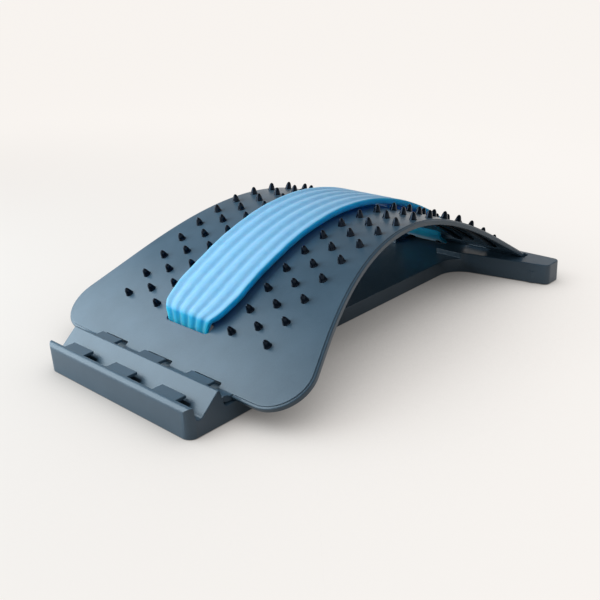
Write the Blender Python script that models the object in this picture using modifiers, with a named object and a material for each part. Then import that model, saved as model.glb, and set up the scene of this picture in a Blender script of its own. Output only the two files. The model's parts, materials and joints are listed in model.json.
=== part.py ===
"""Back stretcher: a sprung arch board with massage studs, standing on a notched base board.

Metres, +Z up. X runs along the board, from the notched near end at -X to the hinged far end at +X.
Pieces of the arch are drawn flat first: x is the length along the board from its crest (near half
negative), y the width, z the height over its top face. bend() then lays them along the arch.
"""
import math

import bmesh
import bpy
import numpy as np
from mathutils import Matrix, Vector

# Arch board
CREST_HEIGHT = 0.0835
NEAR_REACH = 0.1932
FAR_REACH = 0.1722
NEAR_STRAIGHT_FROM = 0.1434
FAR_STRAIGHT_FROM = 0.1562
SHEET = 0.0028
EDGE = 0.0043
LIP_WIDTH = 0.003
WAIST_HALF_WIDTH = 0.085
WAIST_AT = 0.035
NEAR_FLARE = 0.0435
NEAR_FLARE_POWER = 1.9
NEAR_FLARE_PAST_END = 0.0038
FAR_FLARE = 0.0135
FAR_FLARE_POWER = 1.5
NEAR_CORNER_RADIUS = 0.0275
FAR_CORNER_RADIUS = 0.006
NEAR_CORNER_SETBACK = 0.0032
BAR_RADIUS = 0.003
NEAR_BAR_HALF_LENGTH = 0.0785
TIP_CREASE = 0.0122
TIP_LIFT = 0.0036
TIP_BLEND = 0.017
NEAR_BORDER = 0.0122
FAR_BORDER = 0.0172
TONGUE_OVERLAP = 0.004
TONGUE_NOTCH_DEPTH = 0.0092
TAB_GAP = 0.0018
HINGE_SLOT_LENGTH = 0.0138

# Studs
STUD_COLUMNS = {"outer": 0.0765, "middle": 0.0590, "inner": 0.0415}
STUD_PITCH = 0.02105
STUD_ROWS = 15
STUD_HEIGHT = 0.0066
STUD_FOOT_RADIUS = 0.0030
STUD_SHOULDER_RADIUS = 0.0021
STUD_SHOULDER_HEIGHT = 0.0044
STUD_TIP_RADIUS = 0.0010
STUD_STEM_RADIUS = 0.0016
STUD_SIDES = 6
STRIP_HALF_WIDTH = 0.0035
STRIP_THICKNESS = 0.0012

# Foam pad
PAD_HALF_WIDTH = 0.0312
PAD_END_HALF_WIDTH = 0.0213
PAD_THICKNESS = 0.005
PAD_STANDOFF = 0.0033
PAD_TAIL_THICKNESS = 0.003
PAD_TAIL_GAP = 0.0005
PAD_FLUTES = 5
PAD_FLUTE_DEPTH = 0.0007
NEAR_SLOT_FROM_END = 0.0419
FAR_SLOT_FROM_END = 0.0267
PAD_SLOT_LENGTH = 0.010
PAD_SLOT_MARGIN = 0.0022
PAD_SLOT_CORNER = 0.0035
PAD_NEAR_TAIL = 0.0125
PAD_FAR_TAIL = 0.0200
RIVET_OFFSET = 0.0150
RIVET_HEAD_RADIUS = 0.003
RIVET_SHANK_RADIUS = 0.0013
RIVET_HEAD = 0.0009
RIVET_SKIN = 0.0012
RIVET_FROM_END = 0.0045

# Base board
NEAR_HALF_WIDTH = 0.0807
NEAR_CORNER = 0.0076
NOTCH_PITCH = 0.0245
NOTCH_CRESTS = (0.0222, 0.0236, 0.0192, 0.0192)
NOTCH_FLOOR = 0.0124
OUTER_CREST_ROUND = 0.0026
CREST_ROUND = 0.0014
CREST_TOPS = ((0.0013, 0.0024), (-0.0007, 0.0005), (-0.0007, 0.0005), (-0.0007, 0.0005))
CREST_FLANKS = (0.0042, 0.0033, 0.0033)
NOTCH_BOTTOM = ((0.0053, 0.0011), (0.0068, 0.0), (0.0088, 0.0))
NOTCH_SEAT = 0.0077
SEATED_NOTCH = 1
RIM_THICKNESS = 0.0026
WEB_HALF_WIDTH = 0.0400
WEB_HEIGHT = 0.0130
WEB_FILLET = 0.0214
FAR_BLOCK_LENGTH = 0.0360
FAR_BLOCK_TAPER = 0.0160
FAR_HALF_WIDTH = 0.1262
FAR_BLOCK_HEIGHT = 0.0180
FAR_BLOCK_CORNER = 0.0052
FAR_RIM_THICKNESS = 0.0050
FAR_BAR_HEIGHT = 0.0172
WALL = 0.0030
RIB = 0.0022
TAB_SPACING = 0.0513
TAB_WIDTH = 0.0240
TAB_REACH = 0.0125
TAB_THICKNESS = 0.0022
TAB_SINK = 0.0004
HOOK_SINK = 0.0020
HOOK_LIP = 0.0006
HOOK_SLANT = 0.0008
CORE_HOLE_START = 0.0052
CORE_HOLE_END = 0.0135
CORE_HOLE_MARGIN = 0.0024
HINGE_ROOM_LENGTH = 0.045
HINGE_ROOM_STEP = 0.005

# Feet and fits
FOOT_RADIUS = 0.0080
FOOT_THICKNESS = 0.0024
FOOT_PROUD = 0.0005
FOOT_SIDES = 16
NEAR_FOOT_SETBACK = (0.004, 0.004)
FAR_FOOT_SETBACK = (0.002, 0.005)
MIDDLE_FOOT_SETBACK = 0.003
FIT = 0.0003
BAR_CLEARANCE = 0.00035
ARCH_CLEARANCE = 0.0006
CUT_PAST = 0.01
JOIN_OVERLAP = 0.001


def clear_scene():
    for item in list(bpy.data.objects):
        bpy.data.objects.remove(item, do_unlink=True)


def collection(name):
    group = bpy.data.collections.get(name) or bpy.data.collections.new(name)
    if name not in bpy.context.scene.collection.children:
        bpy.context.scene.collection.children.link(group)
    return group


def material(name, colour, roughness, metallic=0.0):
    finish = bpy.data.materials.new(name)
    finish.use_nodes = True
    shader = finish.node_tree.nodes["Principled BSDF"]
    shader.inputs["Base Color"].default_value = (*colour, 1.0)
    shader.inputs["Roughness"].default_value = roughness
    shader.inputs["Metallic"].default_value = metallic
    return finish


def add_object(name, mesh, group):
    item = bpy.data.objects.new(name, mesh)
    group.objects.link(item)
    return item


def from_bmesh(name, bm, group):
    mesh = bpy.data.meshes.new(name)
    bm.to_mesh(mesh)
    bm.free()
    return add_object(name, mesh, group)


def box(name, low, high, group):
    bm = bmesh.new()
    bmesh.ops.create_cube(bm, size=1.0)
    size = [b - a for a, b in zip(low, high)]
    middle = [(a + b) / 2 for a, b in zip(low, high)]
    bmesh.ops.scale(bm, vec=size, verts=bm.verts)
    bmesh.ops.translate(bm, vec=middle, verts=bm.verts)
    return from_bmesh(name, bm, group)


def rod(name, radius, start, end, sides, group):
    """A cylinder from start to end."""
    start, end = Vector(start), Vector(end)
    along = end - start
    bm = bmesh.new()
    bmesh.ops.create_cone(bm, cap_ends=True, segments=sides, radius1=radius, radius2=radius,
                          depth=along.length)
    turn = along.to_track_quat("Z", "Y").to_matrix().to_4x4()
    bmesh.ops.transform(bm, matrix=Matrix.Translation((start + end) / 2) @ turn, verts=bm.verts)
    return from_bmesh(name, bm, group)


def turned(name, profile, sides, group):
    """A profile of (radius, height) points, from the top down its outer side, spun about Z."""
    outline = bpy.data.meshes.new(name)
    outline.from_pydata([(x, 0, z) for x, z in profile], [(k, k + 1) for k in range(len(profile) - 1)], [])
    item = add_object(name, outline, group)
    turn = item.modifiers.new("turn", "SCREW")
    turn.steps = turn.render_steps = sides
    turn.use_merge_vertices = True
    turn.merge_threshold = 0.00001
    bake(item)
    return item


def slab(name, outline, low, high, group, upright=False):
    """An outline in the XY plane (or XZ, if upright) given thickness from low to high."""
    curve = bpy.data.curves.new(name, "CURVE")
    curve.dimensions = "2D"
    curve.fill_mode = "BOTH"
    curve.extrude = (high - low) / 2
    spline = curve.splines.new("POLY")
    spline.points.add(len(outline) - 1)
    for point, (x, y) in zip(spline.points, outline):
        point.co = (x, y, 0.0, 1.0)
    spline.use_cyclic_u = True
    guide = add_object(name + "_outline", curve, group)
    mesh = bpy.data.meshes.new_from_object(guide.evaluated_get(bpy.context.evaluated_depsgraph_get()))
    bpy.data.objects.remove(guide, do_unlink=True)
    bm = bmesh.new()
    bm.from_mesh(mesh)
    bpy.data.meshes.remove(mesh)
    bmesh.ops.remove_doubles(bm, verts=bm.verts, dist=1e-6)
    bmesh.ops.dissolve_limit(bm, angle_limit=0.0001, verts=bm.verts, edges=bm.edges)
    bmesh.ops.translate(bm, vec=(0, 0, (low + high) / 2), verts=bm.verts)
    if upright:
        bmesh.ops.rotate(bm, matrix=Matrix.Rotation(math.pi / 2, 3, "X"), verts=bm.verts)
    bmesh.ops.recalc_face_normals(bm, faces=bm.faces)
    return from_bmesh(name, bm, group)


def bake(item):
    """Keep the evaluated mesh and drop the modifiers."""
    depsgraph = bpy.context.evaluated_depsgraph_get()
    mesh = bpy.data.meshes.new_from_object(item.evaluated_get(depsgraph))
    item.modifiers.clear()
    item.data = mesh


def boolean(target, operation, others):
    for other in others:
        step = target.modifiers.new(operation.lower(), "BOOLEAN")
        step.operation = operation
        step.object = other
        step.solver = "EXACT"
        bake(target)
        bpy.data.objects.remove(other, do_unlink=True)


def cut(target, *others):
    boolean(target, "DIFFERENCE", others)


def join(target, *others):
    boolean(target, "UNION", others)


def keep_inside(target, *others):
    boolean(target, "INTERSECT", others)


def finish_piece(item, finish, parent, smooth_angle=30):
    item.data.materials.clear()
    item.data.materials.append(finish)
    item.data.shade_smooth()
    item.data.set_sharp_from_angle(angle=math.radians(smooth_angle))
    if parent is not None:
        item.parent = parent
        item.matrix_parent_inverse = parent.matrix_basis.inverted()


def rounded(corners, step=math.radians(15)):
    """Closed outline through (x, y, radius) corners, each turned with an arc of its radius."""
    points = []
    for index, (x, y, radius) in enumerate(corners):
        here = Vector((x, y))
        back = (Vector(corners[index - 1][:2]) - here).normalized()
        ahead = (Vector(corners[(index + 1) % len(corners)][:2]) - here).normalized()
        if radius == 0:
            points.append((x, y))
            continue
        half = back.angle(ahead) / 2
        turn = math.pi - 2 * half
        centre = here + (back + ahead).normalized() * radius / math.sin(half)
        first = here + back * radius / math.tan(half) - centre
        side = 1.0 if back.x * ahead.y - back.y * ahead.x < 0 else -1.0
        steps = max(2, round(turn / step))
        for k in range(steps + 1):
            angle = side * turn * k / steps
            cos, sin = math.cos(angle), math.sin(angle)
            points.append((centre.x + first.x * cos - first.y * sin,
                           centre.y + first.x * sin + first.y * cos))
    return points


class Arch:
    """Side view of the board: its slope grows as a sine wave from the crest, then stays the same."""

    STEP = 0.0002

    def __init__(self):
        self.near = self.half(NEAR_REACH, NEAR_STRAIGHT_FROM, NEAR_BAR_Z, TIP_LIFT)
        self.far = self.half(FAR_REACH, FAR_STRAIGHT_FROM, FAR_BAR_HEIGHT, 0.0)

    def half(self, reach, straight_from, bar_height, lift):
        low, high = 0.0, math.radians(80)
        for _ in range(40):
            steepest = (low + high) / 2
            s, x, z, slope = self.run(steepest, straight_from, reach)
            end = z[-1] + (lift - EDGE / 2) * math.cos(slope[-1])
            low, high = (steepest, high) if end > bar_height else (low, steepest)
        return self.run(steepest, straight_from, 1.3 * reach)

    def run(self, steepest, straight_from, reach):
        s = np.append(np.arange(0.0, reach, self.STEP), reach)
        slope = steepest * np.sin(np.minimum(s / straight_from, 1.0) * math.pi / 2)
        middle = (slope[1:] + slope[:-1]) / 2
        x = np.append(0.0, np.cumsum(np.cos(middle) * np.diff(s)))
        z = CREST_HEIGHT - np.append(0.0, np.cumsum(np.sin(middle) * np.diff(s)))
        return s, x, z, slope

    def place(self, s, y, t):
        """World place of a point s along the board, y across it and t over its top face."""
        side = -1.0 if s < 0 else 1.0
        length, x, z, slope = self.near if s < 0 else self.far
        angle = np.interp(abs(s), length, slope)
        t += tip_lift(s, y)
        return Vector((
            CREST_X + side * (np.interp(abs(s), length, x) + t * math.sin(angle)),
            y,
            np.interp(abs(s), length, z) + t * math.cos(angle),
        ))


def tip_lift(s, y):
    """The near tip is creased up, so that its bar lies in the notch; the corners are not."""
    along = max(0.0, -s - (NEAR_REACH - TIP_CREASE)) / TIP_CREASE
    across = (abs(y) - NEAR_HALF_WIDTH) / TIP_BLEND
    across = min(1.0, max(0.0, across))
    return TIP_LIFT * along * (1 - across * across * (3 - 2 * across))


NEAR_BAR_Z = NOTCH_FLOOR + BAR_RADIUS + BAR_CLEARANCE
PAD_NEAR_SLOT = NEAR_REACH - NEAR_SLOT_FROM_END
PAD_FAR_SLOT = FAR_REACH - FAR_SLOT_FROM_END
CREST_X = 0.0
ARCH = Arch()
NEAR_BAR = ARCH.place(-NEAR_REACH, 0.0, -EDGE / 2)
FAR_BAR = ARCH.place(FAR_REACH, 0.0, -EDGE / 2)
FIRST_CREST = NEAR_BAR.x - NOTCH_SEAT - SEATED_NOTCH * NOTCH_PITCH
NEAR_WALL = FIRST_CREST - RIM_THICKNESS / 2
FAR_WALL = FAR_BAR.x + BAR_RADIUS + BAR_CLEARANCE + FAR_RIM_THICKNESS

# The origin is under the middle of the base board
CREST_X = -(NEAR_WALL + FAR_WALL) / 2
NEAR_BAR.x += CREST_X
FAR_BAR.x += CREST_X
FIRST_CREST += CREST_X
NEAR_WALL += CREST_X
FAR_WALL += CREST_X
INNER_CREST = FIRST_CREST + 3 * NOTCH_PITCH
NEAR_BLOCK_END = INNER_CREST + RIM_THICKNESS / 2
FAR_BLOCK_START = FAR_WALL - FAR_BLOCK_LENGTH
TAB_PLACES = (-TAB_SPACING, 0.0, TAB_SPACING)
FAR_TAB_PLACES = (-TAB_SPACING, TAB_SPACING)


# Lines across the board between one stud row and the next, where flat pieces fold
HALF_ROWS = [STUD_PITCH * (k + 0.5) / 2 for k in range(-STUD_ROWS, STUD_ROWS)]


def half_width(s):
    """Half the board's width, without its corners."""
    if s < WAIST_AT:
        share = (WAIST_AT - s) / (NEAR_REACH + NEAR_FLARE_PAST_END)
        return WAIST_HALF_WIDTH + NEAR_FLARE * share ** NEAR_FLARE_POWER
    return WAIST_HALF_WIDTH + FAR_FLARE * ((s - WAIST_AT) / (FAR_REACH - WAIST_AT)) ** FAR_FLARE_POWER


def board_outline(inset, near_end, far_end, near_radius, far_radius):
    """Flat outline of the board: waisted sides, with a wide round corner at the near end."""
    start, ahead = HALF_ROWS[1], HALF_ROWS[2]
    slope = (half_width(ahead) - half_width(start)) / (ahead - start)
    tip_half_width = half_width(start) + slope * (near_end - start)
    side = [(near_end, tip_half_width - inset, near_radius)]
    for s in HALF_ROWS[1:-1]:
        side.append((s, half_width(s) - inset, 0))
    side.append((far_end, half_width(far_end) - inset, far_radius))
    mirrored = [(s, -w, radius) for s, w, radius in reversed(side)]
    return rounded(side + mirrored, step=math.radians(11))


def slice_across(item, stations):
    """Cut lines across a flat piece, where it will fold."""
    bm = bmesh.new()
    bm.from_mesh(item.data)
    for s in stations:
        geometry = bm.verts[:] + bm.edges[:] + bm.faces[:]
        bmesh.ops.bisect_plane(bm, geom=geometry, plane_co=(s, 0, 0), plane_no=(1, 0, 0), dist=1e-6)
    bm.to_mesh(item.data)
    bm.free()


def bend(item):
    """Lay a flat piece along the arch."""
    bm = bmesh.new()
    bm.from_mesh(item.data)
    bmesh.ops.triangulate(bm, faces=bm.faces)
    for vertex in bm.verts:
        vertex.co = ARCH.place(*vertex.co)
    bm.to_mesh(item.data)
    bm.free()


def row_places(column):
    """Where a column's studs stand; the middle columns stand half a pitch off the others."""
    rows = STUD_ROWS - 1 if column == "middle" else STUD_ROWS
    return [STUD_PITCH * (k - (rows - 1) / 2) for k in range(rows)]


def make_arch_board(group, parent, finish):
    near_end = -NEAR_REACH + NEAR_CORNER_SETBACK
    outline = board_outline(0.0, near_end, FAR_REACH, NEAR_CORNER_RADIUS, FAR_CORNER_RADIUS)
    board = slab("arch_board", outline, -EDGE, 0.0, group)
    hollow = board_outline(LIP_WIDTH, -NEAR_REACH + NEAR_BORDER, FAR_REACH - FAR_BORDER,
                           NEAR_CORNER_RADIUS - LIP_WIDTH, FAR_CORNER_RADIUS / 2)
    cut(board, slab("thin_sheet", hollow, -2 * EDGE, -SHEET, group))
    tongue = box("tongue", (-NEAR_REACH, -NEAR_BAR_HALF_LENGTH, -EDGE),
                 (near_end + TONGUE_OVERLAP, NEAR_BAR_HALF_LENGTH, 0.0), group)
    near_bar = rod("near_bar", BAR_RADIUS, (-NEAR_REACH, -NEAR_BAR_HALF_LENGTH, -EDGE / 2),
                   (-NEAR_REACH, NEAR_BAR_HALF_LENGTH, -EDGE / 2), 16, group)
    join(board, tongue, near_bar)
    for y in TAB_PLACES:
        half = TAB_WIDTH / 2 + TAB_GAP
        cut(board, box("tongue_notch", (-NEAR_REACH - CUT_PAST, y - half, -CUT_PAST),
                       (-NEAR_REACH + TONGUE_NOTCH_DEPTH, y + half, CUT_PAST), group))
    for y in FAR_TAB_PLACES:
        half = TAB_WIDTH / 2 + TAB_GAP / 2
        cut(board, box("hinge_slot", (FAR_REACH - HINGE_SLOT_LENGTH, y - half, -CUT_PAST),
                       (FAR_REACH + CUT_PAST, y + half, CUT_PAST), group))
    bar_half = half_width(FAR_REACH) - 2 * BAR_RADIUS / 3
    join(board, rod("far_bar", BAR_RADIUS, (FAR_REACH, -bar_half, -EDGE / 2),
                    (FAR_REACH, bar_half, -EDGE / 2), 16, group))
    slot_half = PAD_END_HALF_WIDTH + PAD_SLOT_MARGIN
    for s in (-PAD_NEAR_SLOT, PAD_FAR_SLOT):
        low, high = s - PAD_SLOT_LENGTH / 2, s + PAD_SLOT_LENGTH / 2
        slot = [(x, y, PAD_SLOT_CORNER) for x, y in
                ((low, -slot_half), (high, -slot_half), (high, slot_half), (low, slot_half))]
        cut(board, slab("pad_slot", rounded(slot, step=math.radians(30)), -CUT_PAST, CUT_PAST, group))
    near_stations = np.arange(-NEAR_REACH + TIP_CREASE, HALF_ROWS[0] - STUD_PITCH / 5, STUD_PITCH * 0.38)
    slice_across(board, [-NEAR_REACH, *near_stations, *HALF_ROWS, FAR_REACH])
    stems = [(s, sign * y) for column, y in STUD_COLUMNS.items()
             for s in row_places(column) for sign in (1, -1)]
    cut(board, drill("stem_holes", stems, STUD_STEM_RADIUS + FIT, -2 * EDGE, 2 * EDGE, group))
    cut(board, rivet_holes(-2 * EDGE, -RIVET_SKIN, group))
    bend(board)
    finish_piece(board, finish, parent)
    return board


def make_stud_strips(group, parent, finish):
    """Each column's studs grow from one soft strip under the board, through holes in it."""
    under = -SHEET - FIT
    root = under - STRIP_THICKNESS / 2
    profile = [(0.0, STUD_HEIGHT), (STUD_TIP_RADIUS, STUD_HEIGHT),
               (STUD_SHOULDER_RADIUS, STUD_SHOULDER_HEIGHT), (STUD_FOOT_RADIUS, FIT),
               (STUD_STEM_RADIUS, FIT), (STUD_STEM_RADIUS, root), (0.0, root)]
    for side, sign in (("left", 1), ("right", -1)):
        for column, offset in STUD_COLUMNS.items():
            rows = row_places(column)
            y = sign * offset
            end = rows[-1] + STRIP_HALF_WIDTH
            strip = box(f"studs_{side}_{column}", (-end, y - STRIP_HALF_WIDTH, under - STRIP_THICKNESS),
                        (end, y + STRIP_HALF_WIDTH, under), group)
            slice_across(strip, HALF_ROWS[::2])
            studs = bmesh.new()
            stud = turned("stud", profile, STUD_SIDES, group)
            for s in rows:
                start = len(studs.verts)
                studs.from_mesh(stud.data)
                studs.verts.ensure_lookup_table()
                bmesh.ops.translate(studs, vec=(s, y, 0), verts=studs.verts[start:])
            bpy.data.objects.remove(stud, do_unlink=True)
            join(strip, from_bmesh("studs", studs, group))
            bend(strip)
            finish_piece(strip, finish, parent)


def dive(cover, tail):
    """The pad's path at one end, as (distance outside the slot, height, half width, thickness)."""
    top = PAD_STANDOFF + PAD_THICKNESS / 2
    under_sheet = -SHEET - PAD_TAIL_GAP - PAD_TAIL_THICKNESS / 2
    under = under_sheet + SHEET - cover
    wide, narrow = PAD_HALF_WIDTH, PAD_END_HALF_WIDTH
    thick, thin = PAD_THICKNESS, PAD_TAIL_THICKNESS
    return [
        (tail, under, narrow, thin),
        (0.0088, under, narrow, thin),
        (0.0056, under_sheet, narrow, thin),
        (0.0037, under_sheet + 0.0007, narrow, thin),
        (0.0030, under_sheet + 0.0020, narrow, thin),
        (0.0020, under_sheet + 0.0041, narrow, thin * 1.13),
        (-0.0006, top - 0.0034, narrow * 1.06, thick * 0.80),
        (-0.0030, top - 0.0006, narrow * 1.14, thick * 0.92),
        (-0.0066, top, narrow * 1.28, thick),
        (-0.0113, top, wide * 0.92, thick),
        (-0.0183, top, wide * 0.96, thick),
        (-0.0270, top, wide, thick),
    ]


def pad_path():
    """Middle line of the pad as (length, height, half width, thickness), near tail to far tail."""
    near = [(-(PAD_NEAR_SLOT + d), t, w, h) for d, t, w, h in dive(SHEET, PAD_NEAR_TAIL)]
    far = [(PAD_FAR_SLOT + d, t, w, h) for d, t, w, h in dive(EDGE, PAD_FAR_TAIL)]
    middle = np.linspace(near[-1][0], far[-1][0], 22)[1:-1]
    top = PAD_STANDOFF + PAD_THICKNESS / 2
    return near + [(s, top, PAD_HALF_WIDTH, PAD_THICKNESS) for s in middle] + far[::-1]


def pad_section(half, thickness):
    """The pad's outline across: a flat back, round edges, and flutes between the ridges of its face."""
    side = [(1.0, -0.30), (1.0, 0.25)]
    points = [(0.96, -0.5), *side]
    for k, y in enumerate(np.linspace(0.96, -0.96, 2 * PAD_FLUTES + 1)):
        flute = PAD_FLUTE_DEPTH / thickness if k % 2 == 1 else 0.0
        points.append((y, 0.5 - flute))
    points += [(-y, h) for y, h in reversed(side)] + [(-0.96, -0.5)]
    return [(y * half, h * thickness) for y, h in points]


def make_pad(group, parent, finish):
    """A fluted foam strip, lofted along its path, through the slots and under the board."""
    path = pad_path()
    bm = bmesh.new()
    rings = []
    for index, (s, t, half, thickness) in enumerate(path):
        before, after = path[max(index - 1, 0)], path[min(index + 1, len(path) - 1)]
        along = Vector((after[0] - before[0], 0, after[1] - before[1])).normalized()
        up = Vector((-along.z, 0, along.x))
        middle = Vector((s, 0, t))
        section = pad_section(half, thickness)
        rings.append([bm.verts.new(middle + up * h + Vector((0, y, 0))) for y, h in section])
    count = len(rings[0])
    for first, second in zip(rings, rings[1:]):
        for k in range(count):
            bm.faces.new((first[k], first[(k + 1) % count], second[(k + 1) % count], second[k]))
    bm.faces.new(reversed(rings[0]))
    bm.faces.new(rings[-1])
    bmesh.ops.recalc_face_normals(bm, faces=bm.faces)
    pad = from_bmesh("foam_pad", bm, group)
    cut(pad, rivet_holes(-CUT_PAST, -SHEET, group))
    bend(pad)
    finish_piece(pad, finish, parent, smooth_angle=50)
    return pad


def rivet_places():
    near = -(PAD_NEAR_SLOT + PAD_NEAR_TAIL - RIVET_FROM_END)
    far = PAD_FAR_SLOT + PAD_FAR_TAIL - RIVET_FROM_END
    places = {}
    for end, s in (("near", near), ("far", far)):
        for side, y in (("left", RIVET_OFFSET), ("right", -RIVET_OFFSET)):
            places[f"{end}_{side}"] = (s, y)
    return places


def rivet_holes(low, high, group):
    radius = RIVET_SHANK_RADIUS + FIT
    return drill("rivet_holes", rivet_places().values(), radius, low, high, group)


def drill(name, places, radius, low, high, group):
    """Square cutters, from low to high at each (x, y) place, that clear a pin of this radius."""
    corner = radius * math.sqrt(2)
    bm = bmesh.new()
    for x, y in places:
        bmesh.ops.create_cone(bm, cap_ends=True, segments=4, radius1=corner, radius2=corner,
                              depth=high - low, matrix=Matrix.Translation((x, y, (low + high) / 2)))
    return from_bmesh(name, bm, group)


def make_rivets(group, parent, finish):
    """Push rivets that hold the pad's tails under the board."""
    for place, (s, y) in rivet_places().items():
        cover = SHEET if s < 0 else EDGE
        bottom = -cover - PAD_TAIL_GAP - PAD_TAIL_THICKNESS - FIT
        top = -RIVET_SKIN - FIT
        profile = [(0.0, top), (RIVET_SHANK_RADIUS, top), (RIVET_SHANK_RADIUS, bottom),
                   (RIVET_HEAD_RADIUS, bottom), (RIVET_HEAD_RADIUS * 0.8, bottom - RIVET_HEAD),
                   (0.0, bottom - RIVET_HEAD)]
        rivet = turned(f"pad_rivet_{place}", profile, STUD_SIDES, group)
        rivet.data.transform(Matrix.Translation((s, y, 0)))
        bend(rivet)
        finish_piece(rivet, finish, parent)


def room_under_arch(x, height):
    """The height, or as much of it as fits under the resting arch at x."""
    places = [ARCH.place(s, 0.0, -EDGE) for s in np.arange(-NEAR_REACH, -NEAR_STRAIGHT_FROM / 2, 0.001)]
    over = [place.z - ARCH_CLEARANCE for place in places if abs(place.x - x) < 0.002]
    return min([height, *over])


def notch_profile():
    """Side view of the notched block: four crests, with a V notch after each of the first three."""
    shoulder = NOTCH_CRESTS[0] - OUTER_CREST_ROUND
    points = [(NEAR_WALL, FOOT_PROUD), (NEAR_WALL, shoulder),
              (NEAR_WALL + 0.3 * OUTER_CREST_ROUND, shoulder + 0.7 * OUTER_CREST_ROUND)]
    for k, height in enumerate(NOTCH_CRESTS):
        crest = FIRST_CREST + k * NOTCH_PITCH
        height = room_under_arch(crest, height)
        points += [(crest + past, height - 0.0002) for past in CREST_TOPS[k]]
        if k < len(NOTCH_CRESTS) - 1:
            ahead = crest + NOTCH_PITCH - 0.0022
            points.append((crest + CREST_TOPS[k][1] + 0.8 * CREST_ROUND, height - 1.4 * CREST_ROUND))
            points.append((crest + CREST_FLANKS[k], NOTCH_FLOOR + 0.0045))
            points += [(crest + past, NOTCH_FLOOR + over) for past, over in NOTCH_BOTTOM]
            points.append((ahead, room_under_arch(ahead, NOTCH_CRESTS[k + 1] - CREST_ROUND)))
    points += [(NEAR_BLOCK_END, height - CREST_ROUND), (NEAR_BLOCK_END, FOOT_PROUD)]
    return points


def notch_hollow():
    """Side view of the room under the notches."""
    ceiling = NOTCH_FLOOR - WALL
    points = [(NEAR_WALL + WALL, -CUT_PAST), (NEAR_WALL + WALL, ceiling)]
    for k in range(1, len(NOTCH_CRESTS) - 1):
        crest = FIRST_CREST + k * NOTCH_PITCH
        top = min(NOTCH_CRESTS[k] - 0.0052, ceiling + 0.0085)
        points += [(crest - 0.0105, ceiling), (crest - 0.0010, top), (crest + 0.0006, top),
                   (crest + 0.0030, ceiling)]
    points += [(NEAR_BLOCK_END - WALL, ceiling), (NEAR_BLOCK_END - WALL, -CUT_PAST)]
    return points


def far_outline(inset):
    """Plan of the hinge block: its inner edge slants, its ends are as wide as the arch's flare."""
    wide = FAR_HALF_WIDTH - inset
    start = FAR_BLOCK_START + inset
    radius = max(FAR_BLOCK_CORNER - inset, 0.001)
    half = [(start, WEB_HALF_WIDTH, 0), (start + FAR_BLOCK_TAPER, wide, radius),
            (FAR_WALL - inset, wide, radius)]
    return rounded(half + [(x, -y, r) for x, y, r in reversed(half)])


def long_outline():
    """Plan of the web and the hinge block, with a wide fillet where they meet."""
    half = [(NEAR_BLOCK_END - JOIN_OVERLAP, WEB_HALF_WIDTH, 0), (FAR_BLOCK_START, WEB_HALF_WIDTH, WEB_FILLET),
            (FAR_BLOCK_START + FAR_BLOCK_TAPER, FAR_HALF_WIDTH, FAR_BLOCK_CORNER),
            (FAR_WALL, FAR_HALF_WIDTH, FAR_BLOCK_CORNER)]
    return rounded(half + [(x, -y, r) for x, y, r in reversed(half)])


def foot_places():
    centre = WALL + FOOT_RADIUS
    middles = {
        "near": (NEAR_WALL + centre + NEAR_FOOT_SETBACK[0], NEAR_HALF_WIDTH - centre - NEAR_FOOT_SETBACK[1]),
        "middle": (0.0, WEB_HALF_WIDTH - centre - MIDDLE_FOOT_SETBACK),
        "far": (FAR_WALL - centre - FAR_FOOT_SETBACK[0], FAR_HALF_WIDTH - centre - FAR_FOOT_SETBACK[1]),
    }
    return {f"foot_{end}_{side}": (x, sign * y)
            for end, (x, y) in middles.items() for side, sign in (("left", 1), ("right", -1))}


def make_base_board(group, finish):
    board = slab("base_board", notch_profile(), -NEAR_HALF_WIDTH, NEAR_HALF_WIDTH, group, upright=True)
    end = NEAR_BLOCK_END + JOIN_OVERLAP
    plan = rounded([(NEAR_WALL, -NEAR_HALF_WIDTH, NEAR_CORNER), (end, -NEAR_HALF_WIDTH, 0),
                    (end, NEAR_HALF_WIDTH, 0), (NEAR_WALL, NEAR_HALF_WIDTH, NEAR_CORNER)])
    keep_inside(board, slab("near_plan", plan, -CUT_PAST, CREST_HEIGHT, group))
    long_part = slab("web_and_hinge_block", long_outline(), FOOT_PROUD, FAR_BLOCK_HEIGHT, group)
    cut(long_part, box("over_web", (NEAR_BLOCK_END - CUT_PAST, -FAR_HALF_WIDTH, WEB_HEIGHT),
                       (FAR_BLOCK_START, FAR_HALF_WIDTH, CREST_HEIGHT), group))
    join(board, long_part)
    cut_hollows(board, group)
    for x, y in foot_places().values():
        join(board, rod("foot_boss", FOOT_RADIUS + FIT + RIB, (x, y, FOOT_PROUD + FIT),
                        (x, y, NOTCH_FLOOR - WALL / 2), FOOT_SIDES, group))
        cut(board, rod("foot_recess", FOOT_RADIUS + FIT, (x, y, -CUT_PAST), (x, y, FOOT_THICKNESS + FIT),
                       FOOT_SIDES, group))
    cut_notch_holes(board, group)
    cut_hinge_seat(board, group)
    add_tabs(board, group)
    finish_piece(board, finish, None)
    return board


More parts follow.
